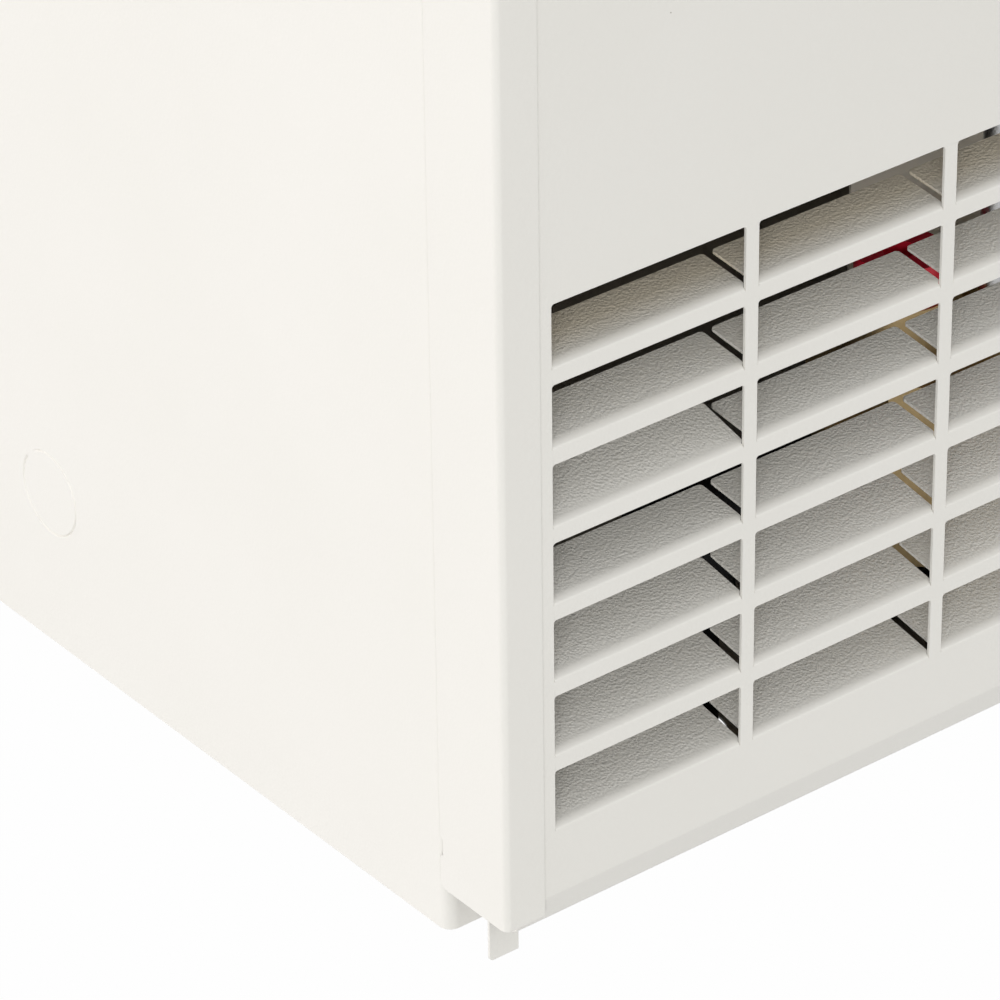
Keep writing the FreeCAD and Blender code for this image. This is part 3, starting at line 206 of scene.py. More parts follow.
class HeaterColours(bpy.types.PropertyGroup):
    """Colours of the finishes as sRGB hex values."""
    cream: colour("Cream", "Powder coat of the casing and cover", "#EEECE6")
    cream_shade: colour("Cream shade", "Slightly deeper tone in the powder coat", "#EAE8E1")
    # This tone is partly heat yellowing and partly painted warm light reflected from inside the cabinet
    cream_heat_and_warm_light: colour("Baked cream", "Powder coat yellowed by the heat behind the louvres", "#F1E6D0")
    speck: colour("Speck", "Tiny dirt specks in the coat", "#8A8273")
    # This grey is partly the primer of the inner face and partly painted shade for the dark inside of the
    # cabinet
    primer: colour("Primer", "Dusty primer inside the base", "#A0968A")
    zinc: colour("Zinc", "Galvanised sheet", "#B9BDBE")
    aluminised: colour("Aluminised", "Aluminised sheet round the burner and the flue", "#DEDCD6")
    # This light tone is painted sheen: it stands for the bright reflection on the shield behind the top louvres
    shield: colour("Shield", "Etched aluminised sheet of the heat shield", "#F0EBE0")
    # This dark tone is partly heat scale and partly painted shade for the unlit inside of the cabinet
    scaled: colour("Scaled", "Heat-scaled sheet of the combustion chamber", "#4B443D")
    gasket: colour("Gasket", "Pressed fibre", "#CFC6B4")
    plated: colour("Plated", "Zinc-plated screws and rods", "#C3C5C6")
    glass: colour("Glass", "Clean heat-resisting glass", "#F4F4F1")
    glass_haze: colour("Glass haze", "Soot haze on the glass", "#D9D6CC")
    brass: colour("Brass", "Machined brass fittings", "#C9A35C")
    ceramic: colour("Ceramic", "Glazed insulator", "#EFEDE6")
    copper: colour("Copper", "Drawn copper", "#B8714E")
    die_cast: colour("Die cast", "Passivated die-cast valve body", "#B59F77")
    red: colour("Red", "Moulded red plastic", "#E8243F")
    iron: colour("Iron", "Black gas pipe", "#2A2A2B")
    aluminium: colour("Aluminium", "Drawn tube", "#CFD0D1")
    rubber: colour("Rubber", "Sleeve of the ignition lead", "#1E1E1F")
    black: colour("Black", "Moulded black plastic", "#1B1B1C")
    marking: colour("Marking", "Printed marks on the dial", "#F1EFE9")


# Materials

finishes = {}


def linear(code, share=1.0):
    """sRGB hex value as linear colour, dimmed to a share of its brightness."""
    channels = [int(code[place:place + 2], 16) / 255 for place in (1, 3, 5)]
    return [share * (c / 12.92 if c <= 0.04045 else ((c + 0.055) / 1.055) ** 2.4) for c in channels] + [1.0]


def per_metre(millimetres):
    """Texture scale for a pattern of this real size."""
    return 1 / (millimetres * MM)


def add_node(tree, kind, settings=None, links=None):
    """Add one node, set its values and link its inputs, each to a socket or to a node's first output."""
    node = tree.nodes.new("ShaderNode" + kind)
    for name, value in (settings or {}).items():
        if isinstance(name, str) and hasattr(node, name):
            setattr(node, name, value)
        else:
            node.inputs[name].default_value = value
    for name, source in (links or {}).items():
        if isinstance(source, bpy.types.Node):
            source = [socket for socket in source.outputs if socket.enabled][0]
        tree.links.new(source, node.inputs[name])
    return node


def empty_tree(owner):
    """Node tree of a material or world, with nothing in it yet."""
    owner.use_nodes = True
    owner.node_tree.nodes.clear()
    return owner.node_tree


def new_finish(name):
    """Empty material, its node tree and the place on the object."""
    material = bpy.data.materials.new(name)
    tree = empty_tree(material)
    return material, tree, add_node(tree, "TexCoord").outputs["Object"]


def close_finish(tree, settings, links):
    """Give a material its surface, with the values and patterns that make it."""
    surface = add_node(tree, "BsdfPrincipled", settings, links)
    add_node(tree, "OutputMaterial", None, {"Surface": surface})
    return surface


def powder_coat(colours, name, peel_size, peel_depth):
    """Nodes that every powder-coated surface shares, with its orange peel in millimetres."""
    # Sizes in millimetres; share of the cells that hold a speck and its radius as a share of a cell
    cloud_size, cell_size = 60, 9
    speck_chance, speck_radius = 0.07, 0.035
    material, tree, place = new_finish(name)
    cloud = add_node(tree, "TexNoise", {"Scale": per_metre(cloud_size), "Detail": 2.0}, {"Vector": place})
    peel = add_node(tree, "TexVoronoi",
                    {"feature": "SMOOTH_F1", "Scale": per_metre(peel_size), "Smoothness": 0.6},
                    {"Vector": place})
    cells = add_node(tree, "TexVoronoi", {"Scale": per_metre(cell_size)}, {"Vector": place})
    chance = add_node(tree, "SeparateColor", None, {"Color": cells.outputs["Color"]})
    size = add_node(tree, "MapRange", {"From Min": 1 - speck_chance, "To Max": speck_radius},
                    {"Value": chance.outputs["Red"]})
    spot = add_node(tree, "Math", {"operation": "LESS_THAN"}, {0: cells, 1: size})
    base = add_node(tree, "Mix",
                    {"data_type": "RGBA", "A": linear(colours.cream), "B": linear(colours.cream_shade)},
                    {"Factor": cloud})
    coat = add_node(tree, "Mix", {"data_type": "RGBA", "B": linear(colours.speck)},
                    {"Factor": spot, "A": base})
    bump = add_node(tree, "Bump", {"Strength": 1.0, "Distance": peel_depth * MM}, {"Height": peel})
    surface = close_finish(tree, {"Roughness": 0.42, "IOR": 1.5}, {"Base Color": coat, "Normal": bump})
    return material, tree, place, coat, bump, surface


def cream_powder_coat(colours, name, peel_size, peel_depth):
    """Cream polyester powder coat, sprayed and baked: a satin skin with an orange peel and rare specks."""
    return powder_coat(colours, name, peel_size, peel_depth)[0]


def cream_louvre_coat(colours, name, peel_size, peel_depth):
    """The same coat on the louvres: coarser and yellower with the depth behind the front, most so on top; the
    yellow is partly heat yellowing and partly painted warm light reflected from inside.
    """
    front, bottom = panel_low.y, panel_low.z
    coarse_from, coarse_to = front + 1 * MM, front + 4 * MM
    tint_full_at = front + 10 * MM
    warm_from, warm_to = bottom + 132 * MM, bottom + 146 * MM
    cool_share = 0.05
    material, tree, place, coat, bump, surface = powder_coat(colours, name, peel_size, peel_depth)
    axes = add_node(tree, "SeparateXYZ", None, {"Vector": place})
    rough = add_node(tree, "MapRange", {"From Min": coarse_from, "From Max": coarse_to},
                     {"Value": axes.outputs["Y"]})
    tree.links.new(rough.outputs["Result"], bump.inputs["Strength"])
    deep = add_node(tree, "MapRange", {"From Min": front, "From Max": tint_full_at},
                    {"Value": axes.outputs["Y"]})
    high = add_node(tree, "MapRange", {"From Min": warm_from, "From Max": warm_to, "To Min": cool_share},
                    {"Value": axes.outputs["Z"]})
    # Share of the yellow tone, growing behind the front and on the top row: heat yellowing with painted warm
    # light
    heat = add_node(tree, "Math", {"operation": "MULTIPLY"}, {0: deep, 1: high})
    baked = add_node(tree, "Mix", {"data_type": "RGBA", "B": linear(colours.cream_heat_and_warm_light)},
                     {"Factor": heat, "A": coat})
    tree.links.new(baked.outputs["Result"], surface.inputs["Base Color"])
    return material


def cream_base_coat(colours, name, peel_size, peel_depth):
    """The same coat on the base: only its underside is coated, above it lies a grey primer tone that also
    paints the shade inside the cabinet.
    """
    coated_to = base_low.z + 0.35 * MM
    material, tree, place, coat, _, surface = powder_coat(colours, name, peel_size, peel_depth)
    axes = add_node(tree, "SeparateXYZ", None, {"Vector": place})
    # Above the underside the base takes the grey tone: primer and painted shade
    inside = add_node(tree, "Math", {"operation": "GREATER_THAN", 1: coated_to}, {0: axes.outputs["Z"]})
    primer_and_shade = add_node(tree, "Mix", {"data_type": "RGBA", "B": linear(colours.primer)},
                      {"Factor": inside, "A": coat})
    tree.links.new(primer_and_shade.outputs["Result"], surface.inputs["Base Color"])
    return material


def rolled_metal(name, code, grain, roughness, stretch):
    """Bare metal: tone and gloss vary along its lines, drawn with a coarser grain in mm so that they show."""
    dull = 0.78
    gloss_most, gloss_least = roughness - 0.08, roughness + 0.12
    material, tree, place = new_finish(name)
    lines = add_node(tree, "Mapping", {"Scale": stretch}, {"Vector": place})
    noise = add_node(tree, "TexNoise", {"Scale": per_metre(grain), "Detail": 3.0}, {"Vector": lines})
    base = add_node(tree, "Mix", {"data_type": "RGBA", "A": linear(code, dull), "B": linear(code)},
                    {"Factor": noise})
    gloss = add_node(tree, "MapRange", {"To Min": gloss_most, "To Max": gloss_least}, {"Value": noise})
    bump = add_node(tree, "Bump", {"Strength": 0.15, "Distance": 0.05 * MM}, {"Height": noise})
    close_finish(tree, {"Metallic": 1.0, "Roughness": roughness},
                 {"Base Color": base, "Roughness": gloss, "Normal": bump})
    return material


def galvanised_steel(colours):
    """Hot-dip galvanised sheet: dull zinc whose crystals reflect in patches of about 9 mm."""
    crystal, dull = 9, 0.8
    material, tree, place = new_finish("galvanised_steel_spangled")
    spangle = add_node(tree, "TexVoronoi", {"Scale": per_metre(crystal)}, {"Vector": place})
    patch = add_node(tree, "SeparateColor", None, {"Color": spangle.outputs["Color"]})
    base = add_node(tree, "Mix",
                    {"data_type": "RGBA", "A": linear(colours.zinc, dull), "B": linear(colours.zinc)},
                    {"Factor": patch.outputs["Red"]})
    gloss = add_node(tree, "MapRange", {"To Min": 0.36, "To Max": 0.56},
                     {"Value": patch.outputs["Green"]})
    close_finish(tree, {"Metallic": 1.0, "Roughness": 0.45}, {"Base Color": base, "Roughness": gloss})
    return material


def mottled(name, settings, tones, patch, detail=2.0, relief=0.0, depth=0.0):
    """Finish whose tone varies in patches of this many millimetres, with a grain where it has a relief."""
    material, tree, place = new_finish(name)
    noise = add_node(tree, "TexNoise", {"Scale": per_metre(patch), "Detail": detail}, {"Vector": place})
    base = add_node(tree, "Mix", {"data_type": "RGBA", "A": tones[0], "B": tones[1]}, {"Factor": noise})
    links = {"Base Color": base}
    if relief:
        bump = add_node(tree, "Bump", {"Strength": relief, "Distance": depth * MM}, {"Height": noise})
        links["Normal"] = bump
    close_finish(tree, settings, links)
    return material


def moulded_plastic(name, code, roughness):
    """Injection-moulded plastic with a spark-eroded grain, drawn at 0.4 mm, coarser than real, to show."""
    return mottled(name, {"Roughness": roughness, "IOR": 1.46}, (linear(code, 0.86), linear(code)),
                   patch=0.4, relief=0.2, depth=0.04)


def pressed_fibre(colours):
    """Pressed ceramic-fibre gasket: matt and felted, with fibres about 0.6 mm apart."""
    return mottled("pressed_fibre_gasket", {"Roughness": 0.95, "IOR": 1.45},
                   (linear(colours.gasket, 0.75), linear(colours.gasket)),
                   patch=0.6, detail=4.0, relief=0.5, depth=0.2)


def heat_glass(colours):
    """Polished heat-resisting glass: clear, with a faint soot haze of about 20 mm patches."""
    return mottled("heat_glass_polished", {"Transmission Weight": 1.0, "IOR": 1.47, "Roughness": 0.03},
                   (linear(colours.glass_haze), linear(colours.glass)), patch=20)


def glazed_ceramic(colours):
    """Glazed alumina insulator: white and glossy, mottled at about 3 mm."""
    return mottled("glazed_alumina", {"Roughness": 0.18, "IOR": 1.55},
                   (linear(colours.ceramic, 0.9), linear(colours.ceramic)), patch=3)


def printed_ink(colours):
    """Pad-printed marking ink: matt off-white, thinner in patches of about 1.5 mm."""
    return mottled("marking_ink_pad_printed", {"Roughness": 0.55, "IOR": 1.48},
                   (linear(colours.marking, 0.82), linear(colours.marking)), patch=1.5)


def make_finishes(colours):
    """One material for each slot of the record, and the special ones."""
    along_x = (0.06, 1.0, 1.0)
    along_z = (1.0, 1.0, 0.05)
    even = (1.0, 1.0, 1.0)
    finishes.update({
        "cream_paint": cream_powder_coat(colours, "cream_powder_coat_smooth", 0.9, 0.03),
        "base_paint": cream_base_coat(colours, "cream_powder_coat_over_primer_and_painted_shade", 0.9, 0.03),
        "louvre_paint": cream_louvre_coat(colours, "cream_powder_coat_in_louvres", 0.7, 0.19),
        "galvanised_steel": galvanised_steel(colours),
        "aluminised_steel": rolled_metal("aluminised_steel_rolled", colours.aluminised, 1.2, 0.42, along_x),
        # Heat shield: a matt sheet whose light tone is painted sheen
        "painted_sheen_shield": rolled_metal("aluminised_steel_matt_painted_sheen", colours.shield, 1.2, 0.68, along_x),
        # Chamber pan and back plate: heat scale and painted shade in one dark tone
        "scaled_and_shaded_chamber": rolled_metal("aluminised_steel_heat_scaled_and_painted_shade", colours.scaled, 2.5, 0.6, even),
        "fibre_gasket": pressed_fibre(colours),
        "bright_steel": rolled_metal("zinc_plated_steel", colours.plated, 0.8, 0.32, even),
        "heat_glass": heat_glass(colours),
        "brass": rolled_metal("machined_brass", colours.brass, 0.7, 0.3, along_x),
        "ceramic": glazed_ceramic(colours),
        "copper": rolled_metal("drawn_copper", colours.copper, 0.6, 0.32, along_z),
        "die_cast": rolled_metal("die_cast_aluminium_passivated", colours.die_cast, 1.5, 0.5, even),
        "red_plastic": moulded_plastic("red_plastic_moulded", colours.red, 0.35),
        "black_iron": rolled_metal("black_iron_pipe", colours.iron, 1.0, 0.55, along_z),
        "bright_aluminium": rolled_metal("drawn_aluminium_tube", colours.aluminium, 0.6, 0.3, along_z),
        "lead_rubber": moulded_plastic("silicone_rubber_sleeve", colours.rubber, 0.6),
        "black_plastic": moulded_plastic("black_plastic_moulded", colours.black, 0.45),
        "marking": printed_ink(colours),
    })


# Folded sheet

def arc(centre, first, second, radius, start, end, steps):
    """Points on a round fold in the plane of two directions, from start to end angle."""
    points = []
    for step in range(steps + 1):
        angle = start + (end - start) * step / steps
        points.append(centre + first * (radius * math.cos(angle)) + second * (radius * math.sin(angle)))
    return points


def rounded_path(points, radius, steps):
    """Path through the points with each inner corner rounded."""
    path = [points[0]]
    for before, corner, after in zip(points, points[1:], points[2:]):
        back = (before - corner).normalized()
        ahead = (after - corner).normalized()
        half = back.angle(ahead) / 2
        reach = radius / math.tan(half)
        centre = corner + (back + ahead).normalized() * (radius / math.sin(half))
        first = (corner + back * reach - centre).normalized()
        path += arc(centre, first, -back, radius, 0, math.pi - 2 * half, steps)
    return path + [points[-1]]


def add_points(mesh, points):
    """New vertices for a row of points."""
    return [mesh.verts.new(point) for point in points]


def add_strip(mesh, first, second, finish=0):
    """Faces between two rows of vertices, with one of the piece's finishes."""
    for a, b, c, d in zip(first, first[1:], second[1:], second):
        mesh.faces.new((a, b, c, d)).material_index = finish


def face_outwards(mesh, outward):
    """Turn all faces of a skin the same way, so that its largest one looks outwards."""
    bmesh.ops.recalc_face_normals(mesh, faces=mesh.faces[:])
    field = max(mesh.faces, key=lambda face: face.calc_area())
    if field.normal.dot(outward) < 0:
        bmesh.ops.reverse_faces(mesh, faces=mesh.faces[:])


def mirror_skin(mesh):
    """Right-hand copy of a left-hand skin."""
    for vertex in mesh.verts:
        vertex.co.x = -vertex.co.x
    bmesh.ops.reverse_faces(mesh, faces=mesh.faces[:])
    return mesh


def new_piece(name, mesh):
    """Object with smooth faces from a finished mesh."""
    for face in mesh.faces:
        face.smooth = True
    data = bpy.data.meshes.new(name)
    mesh.to_mesh(data)
    mesh.free()
    piece = bpy.data.objects.new(name, data)
    bpy.context.collection.objects.link(piece)
    return piece


def settle(piece, node, slot, body, extra=()):
    """Give a piece its finishes and its body, and hide the node it stands for."""
    for finish in (slot,) + extra:
        piece.data.materials.append(finishes[finish])
    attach(piece, body)
    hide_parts(node)


def finish_sheet(name, mesh, sizes, node, extra=()):
    """Thicken an outer skin inwards, round its edges, keep its flats flat and lay it over its node."""
    piece = new_piece(name, mesh)
    skin = piece.data
    thick = piece.modifiers.new("sheet", "SOLIDIFY")
    thick.thickness = sizes.sheet
    thick.offset = -1.0
    thick.use_even_offset = True
    soft = piece.modifiers.new("edge", "BEVEL")
    soft.width = sizes.edge
    soft.segments = 2
    soft.limit_method = "ANGLE"
    soft.angle_limit = ROUNDED_FROM
    flat = piece.modifiers.new("flat", "WEIGHTED_NORMAL")
    flat.weight = 100
    graph = bpy.context.evaluated_depsgraph_get()
    solid = bpy.data.meshes.new_from_object(piece.evaluated_get(graph))
    piece.modifiers.clear()
    piece.data = solid
    bpy.data.meshes.remove(skin)
    solid.name = name
    settle(piece, node, "cream_paint", "heater", extra)


# Louvred front panel

def slot_outline(sizes, left, bottom, front):
    """Outline of one slot, from the left end of the fold round to its right end."""
    right = left + sizes.slot_width
    top = bottom + sizes.slot_height
    notch = sizes.relief
    corner = sizes.slot_corner
    points = [Vector((left + notch, front, bottom)), Vector((left, front, bottom))]
    points += arc(Vector((left + corner, front, top - corner)), -X, Z, corner, 0, QUARTER, steps=5)
    points += arc(Vector((right - corner, front, top - corner)), X, Z, corner, QUARTER, 0, steps=5)
    points += [Vector((right, front, bottom)), Vector((right - notch, front, bottom))]
    return points


def fin_section(sizes, angle):
    """Section of a louvre's fold from the slot's lower edge inwards: a tight bend, then a wide one."""
    steps = 6
    bends = ((sizes.fin_nose, 0.0, sizes.nose_turn), (sizes.fin_bend, sizes.nose_turn, angle))
    place = Vector((0, 0, 0))
    points = []
    for radius, first, last in bends:
        for step in range(1, steps + 1):
            now = first + (last - first) * step / steps
            reach = Vector((0, math.cos(first) - math.cos(now), math.sin(now) - math.sin(first)))
            points.append(place + reach * radius)
        place = points[-1]
    return points


def add_fin(mesh, sizes, left_end, right_end, angle):
    """One louvre folded inwards from the lower edge of its slot, with round free corners."""
    start = left_end.co.copy()
    width = right_end.co.x - start.x
    rows = [[left_end, right_end]]
    for point in fin_section(sizes, angle):
        behind = min(max((point.y - sizes.sheet) / sizes.sheet, 0.0), 1.0)
        spread = X * (behind * (sizes.fin_spread + sizes.relief))
        rows.append(add_points(mesh, [start + point - spread, start + point + X * width + spread]))
    for lower, upper in zip(rows, rows[1:]):
        add_strip(mesh, lower, upper, LOUVRE_FINISH)
    near, far = rows[-1]
    folded = sizes.fin_nose * sizes.nose_turn + sizes.fin_bend * (angle - sizes.nose_turn)
    slope = Vector((0, math.sin(angle), math.cos(angle)))
    corner = sizes.fin_corner
    tip = slope * (sizes.slot_height - folded - corner)
    outline = arc(near.co + tip + X * corner, -X, slope, corner, 0, QUARTER, steps=6)
    outline += arc(far.co + tip - X * corner, X, slope, corner, QUARTER, 0, steps=6)
    mesh.faces.new([far, near] + add_points(mesh, outline)).material_index = LOUVRE_FINISH


def lip_path(sizes):
    """Section of the panel's bottom: down the field, back along the lip and in to the hem."""
    front, low = panel_low.y, panel_low.z
    top = low + sizes.lip_height
    foot = front + sizes.lip_height * math.tan(sizes.lip_angle)
    points = [Vector((0, front, top + sizes.lip_bend)), Vector((0, front, top)), Vector((0, foot, low)),
              Vector((0, tabs_low.y - sizes.hem_gap, low))]
    return rounded_path(points, sizes.lip_bend, steps=7)


def add_lip(mesh, sizes, path, left_end, right_end):
    """Lip and the hem behind it, notched where the tabs pass."""
    left, right = left_end.co.x, right_end.co.x
    rows = [[left_end, right_end]]
    for point in path[1:-1]:
        rows.append(add_points(mesh, [Vector((x, point.y, point.z)) for x in (left, right)]))
    for upper, lower in zip(rows, rows[1:]):
        add_strip(mesh, upper, lower)
    end, rear = path[-1], panel_high.y
    notch = tabs_low.x + sizes.hem_notch
    hem = [(left, end.y), (notch, end.y), (notch, rear), (-notch, rear), (-notch, end.y), (right, end.y)]
    points = add_points(mesh, [Vector((x, y, end.z)) for x, y in hem])
    mesh.faces.new(rows[-1][::-1] + points)


def front_panel_skin(sizes):
    """Outer skin of the louvred sheet with its lip and hem."""
    mesh = bmesh.new()
    front = panel_low.y
    left, right = panel_low.x, panel_high.x
    path = lip_path(sizes)
    corners = [Vector((left, front, path[0].z)), Vector((right, front, path[0].z)),
               Vector((right, front, panel_high.z)), Vector((left, front, panel_high.z))]
    border = add_points(mesh, corners)
    edges = [mesh.edges.new(pair) for pair in zip(border, border[1:] + border[:1])]
    folds = []
    start = -(sizes.columns * sizes.column_pitch - (sizes.column_pitch - sizes.slot_width)) / 2
    for column in range(sizes.columns):
        for row, angle in enumerate(sizes.fin_angles):
            bottom = panel_low.z + sizes.grille_rise + row * sizes.row_pitch
            outline = slot_outline(sizes, start + column * sizes.column_pitch, bottom, front)
            ring = add_points(mesh, outline)
            edges += [mesh.edges.new(pair) for pair in zip(ring, ring[1:] + ring[:1])]
            stray = column == sizes.stray_column and row == sizes.stray_row
            folds.append((ring[0], ring[-1], sizes.stray_angle if stray else angle))
    bmesh.ops.triangle_fill(mesh, use_beauty=True, use_dissolve=False, edges=edges, normal=-Y)
    for left_end, right_end, angle in folds:
        add_fin(mesh, sizes, left_end, right_end, angle)
    add_lip(mesh, sizes, path, border[0], border[1])
    face_outwards(mesh, -Y)
    return mesh


class HEATER_OT_front_panel(bpy.types.Operator):
    """Build the louvred front panel"""
    bl_idname = "heater.front_panel"
    bl_label = "Front Panel"

    def execute(self, context):
        sizes = context.scene.heater_sizes
        finish_sheet("louvred_front_panel", front_panel_skin(sizes), sizes, "front_panel", ("louvre_paint",))
        return {"FINISHED"}


# Casing sides

def side_path(sizes):
    """Section of the left side: front fold, side and rear fold."""
    outer, inner = casing_low.x, casing_high.x
    front, rear = casing_low.y, casing_high.y
    points = [Vector((inner, front, 0)), Vector((outer, front, 0)),
              Vector((outer, rear, 0)), Vector((inner, rear, 0))]
    return rounded_path(points, sizes.casing_bend, steps=10)


def slit_levels(sizes):
    """Lower and upper heights of the slits for the hooks."""
    levels = []
    for hook in (hooks_low.z, hooks_high.z - sizes.hook_height):
        levels += [hook + sizes.slit_rise, hook + sizes.slit_rise + sizes.slit_height]
    return levels


def in_slit(sizes, point):
    """Whether a place on the front fold lies in the hooks' slits."""
    inner = casing_low.x + sizes.sheet
    return point.y < casing_low.y + sizes.casing_bend and inner < point.x < inner + sizes.slit_width


def add_folds(mesh, sizes, path, flat):
    """Faces of the casing's folds, open where the hooks pass, without the flat run between them."""
    heights = [casing_low.z] + slit_levels(sizes) + [casing_high.z]
    rows = []
    for point in path:
        rows.append(add_points(mesh, [Vector((point.x, point.y, height)) for height in heights]))
    for index, (first, second) in enumerate(zip(rows, rows[1:])):
        if index == flat:
            continue
        middle = (path[index] + path[index + 1]) / 2
        for level in range(len(first) - 1):
            between_cuts = level % 2 == 1
            if not (between_cuts and in_slit(sizes, middle)):
                mesh.faces.new((first[level], first[level + 1], second[level + 1], second[level]))
    return rows


def add_knockout(mesh, sizes):
    """Round groove broken by a bridge, and the blank inside it; gives back its outer edges."""
    centre = Vector((casing_low.x, -sizes.knockout_from_wall, casing_low.z + sizes.knockout_rise))
    half = sizes.knockout_groove / 2
    rings = []
    for offset, depth in ((half, 0.0), (0.0, sizes.knockout_depth), (-half, 0.0)):
        radius = sizes.knockout_radius - half + offset
        points = []
        for index in range(KNOCKOUT_POINTS):
            angle = 2 * math.pi * index / KNOCKOUT_POINTS
            bridged = abs(angle - sizes.knockout_bridge) < sizes.bridge_half
            sunk = 0.0 if bridged else depth
            points.append(centre + Vector((sunk, radius * math.cos(angle), radius * math.sin(angle))))
        rings.append(add_points(mesh, points))
    for outer, inner in zip(rings, rings[1:]):
        add_strip(mesh, outer + outer[:1], inner + inner[:1])
    mesh.faces.new(rings[-1])
    return [mesh.edges.get(pair) for pair in zip(rings[0], rings[0][1:] + rings[0][:1])]


def add_side_field(mesh, sizes, front_row, rear_row, knockout):
    """Flat side between its folds, with the painted-over slit of the knock-out."""
    border = front_row + rear_row[::-1]
    edges = []
    for first, second in zip(border, border[1:] + border[:1]):
        edges.append(mesh.edges.get((first, second)) or mesh.edges.new((first, second)))
    if knockout:
        edges += add_knockout(mesh, sizes)
    bmesh.ops.triangle_fill(mesh, use_beauty=True, use_dissolve=False, edges=edges, normal=-X)


def side_skin(sizes, knockout):
    """Outer skin of the left side."""
    mesh = bmesh.new()
    path = side_path(sizes)
    runs = [(after - before).length for before, after in zip(path, path[1:])]
    flat = runs.index(max(runs))
    rows = add_folds(mesh, sizes, path, flat)
    add_side_field(mesh, sizes, rows[flat], rows[flat + 1], knockout)
    face_outwards(mesh, -X)
    return mesh


class HEATER_OT_sides(bpy.types.Operator):
    """Build the two sides of the casing"""
    bl_idname = "heater.sides"
    bl_label = "Casing Sides"

    def execute(self, context):
        sizes = context.scene.heater_sizes
        finish_sheet("casing_side_left", side_skin(sizes, True), sizes, "side_panel_left")
        finish_sheet("casing_side_right", mirror_skin(side_skin(sizes, False)), sizes, "side_panel_right")
        return {"FINISHED"}


# Cover frame

def channel_skin(sizes):
    """Outer skin of the left corner angle, mitred at its top and notched beside the lower hook."""
    mesh = bmesh.new()
    outer, inner, front, rear = channel_low.x, channel_high.x, channel_low.y, channel_high.y
    low, high = channel_low.z, channel_high.z
    points = [Vector((inner, front, 0)), Vector((outer, front, 0)), Vector((outer, rear, 0))]
    path = rounded_path(points, sizes.cover_bend, steps=8)
    corner = sizes.side_corner
    path[-1] = Vector((outer, rear - corner, 0))
    lower = add_points(mesh, [Vector((point.x, point.y, low)) for point in path])
    upper = add_points(mesh, [Vector((point.x, point.y, high - (point.x - outer))) for point in path])
    add_strip(mesh, lower, upper)
    middle = Vector((outer, rear - corner, low + corner))
    rear_edge = arc(middle, -Z, Y, corner, 0, QUARTER, steps=6)[1:]
    depth = sizes.hook_notch
    notch_low = low + sizes.hook_notch_rise
    notch_high = notch_low + sizes.hook_notch_height
    notch = ((rear, notch_low), (rear - depth, notch_low + depth), (rear - depth, notch_high - depth),
             (rear, notch_high))
    rear_edge += [Vector((outer, y, z)) for y, z in notch + ((rear, high),)]
    mesh.faces.new([upper[-1], lower[-1]] + add_points(mesh, rear_edge))
    face_outwards(mesh, -X - Y)
    return mesh


def top_channel_skin(sizes):
    """Outer skin of the top angle, mitred at both ends."""
    mesh = bmesh.new()
    low, high = top_channel_low.z, top_channel_high.z
    front, rear = top_channel_low.y, top_channel_high.y
    points = [Vector((0, front, low)), Vector((0, front, high)), Vector((0, rear, high))]
    path = rounded_path(points, sizes.cover_bend, steps=8)
    ends = []
    for side in (-1, 1):
        ends.append(add_points(mesh, [
            Vector((side * (top_channel_high.x - (high - point.z)), point.y, point.z)) for point in path]))
    add_strip(mesh, ends[0], ends[1])
    face_outwards(mesh, Z - Y)
    return mesh


def tab_skin(sizes):
    """Outer skin of the left tab: a front leg that hangs below the cover and a side leg inside it."""
    mesh = bmesh.new()
    low, high = tabs_low.z, tabs_high.z
    front, rear = tabs_low.y, tabs_high.y
    outer = tabs_low.x
    inner = outer + sizes.tab_width
    step = outer + sizes.tab_step
    bend = sizes.tab_bend
    corner = arc(Vector((step + bend, front, low + bend)), -Z, -X, bend, 0, QUARTER, steps=5)
    points = [Vector((step, front, 0)), Vector((outer, front, 0)), Vector((outer, rear, 0))]
    fold = rounded_path(points, bend, steps=6)
    lower = add_points(mesh, [Vector((point.x, point.y, channel_low.z)) for point in fold])
    upper = add_points(mesh, [Vector((point.x, point.y, high)) for point in fold])
    add_strip(mesh, lower, upper)
    leg = add_points(mesh, [Vector((inner, front, high)), Vector((inner, front, low))] + corner)
    mesh.faces.new([upper[0]] + leg + [lower[0]])
    face_outwards(mesh, -Y)
    return mesh


class HEATER_OT_cover_frame(bpy.types.Operator):
    """Build the channels round the front panel and the hanging tabs"""
    bl_idname = "heater.cover_frame"
    bl_label = "Cover Frame"

    def execute(self, context):
        sizes = context.scene.heater_sizes
        finish_sheet("corner_channel_left", channel_skin(sizes), sizes, "cover_channel_left")
        finish_sheet("corner_channel_right", mirror_skin(channel_skin(sizes)), sizes, "cover_channel_right")
        finish_sheet("top_channel", top_channel_skin(sizes), sizes, "cover_channel_top")
        finish_sheet("cover_tab_left", tab_skin(sizes), sizes, "cover_tabs")
        finish_sheet("cover_tab_right", mirror_skin(tab_skin(sizes)), sizes, "cover_tabs")
        return {"FINISHED"}


# Controls on the top

def axis_box(node):
    """Lowest and highest corner of an upright node, its middle and half its width."""
    low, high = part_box(node)
    return low, high, (low + high) / 2, (high.x - low.x) / 2


def circle(radius):
    """Outline of a round piece."""
    return lambda angle: radius


def sided(count, reach):
    """Outline of a regular bar whose flats lie this far from its axis, with one corner at the right."""
    half = math.pi / count
    return lambda angle: reach / math.cos(angle % (2 * half) - half)


def scalloped(count, radius, hollow):
    """Outline of a grip whose flats are hollowed between its corners."""
    half = math.pi / count
    reach = radius * math.cos(half)

    def outline(angle):
        off_middle = angle % (2 * half) - half
        return reach / math.cos(off_middle) - hollow * (1 - (off_middle / half) ** 2)
    return outline


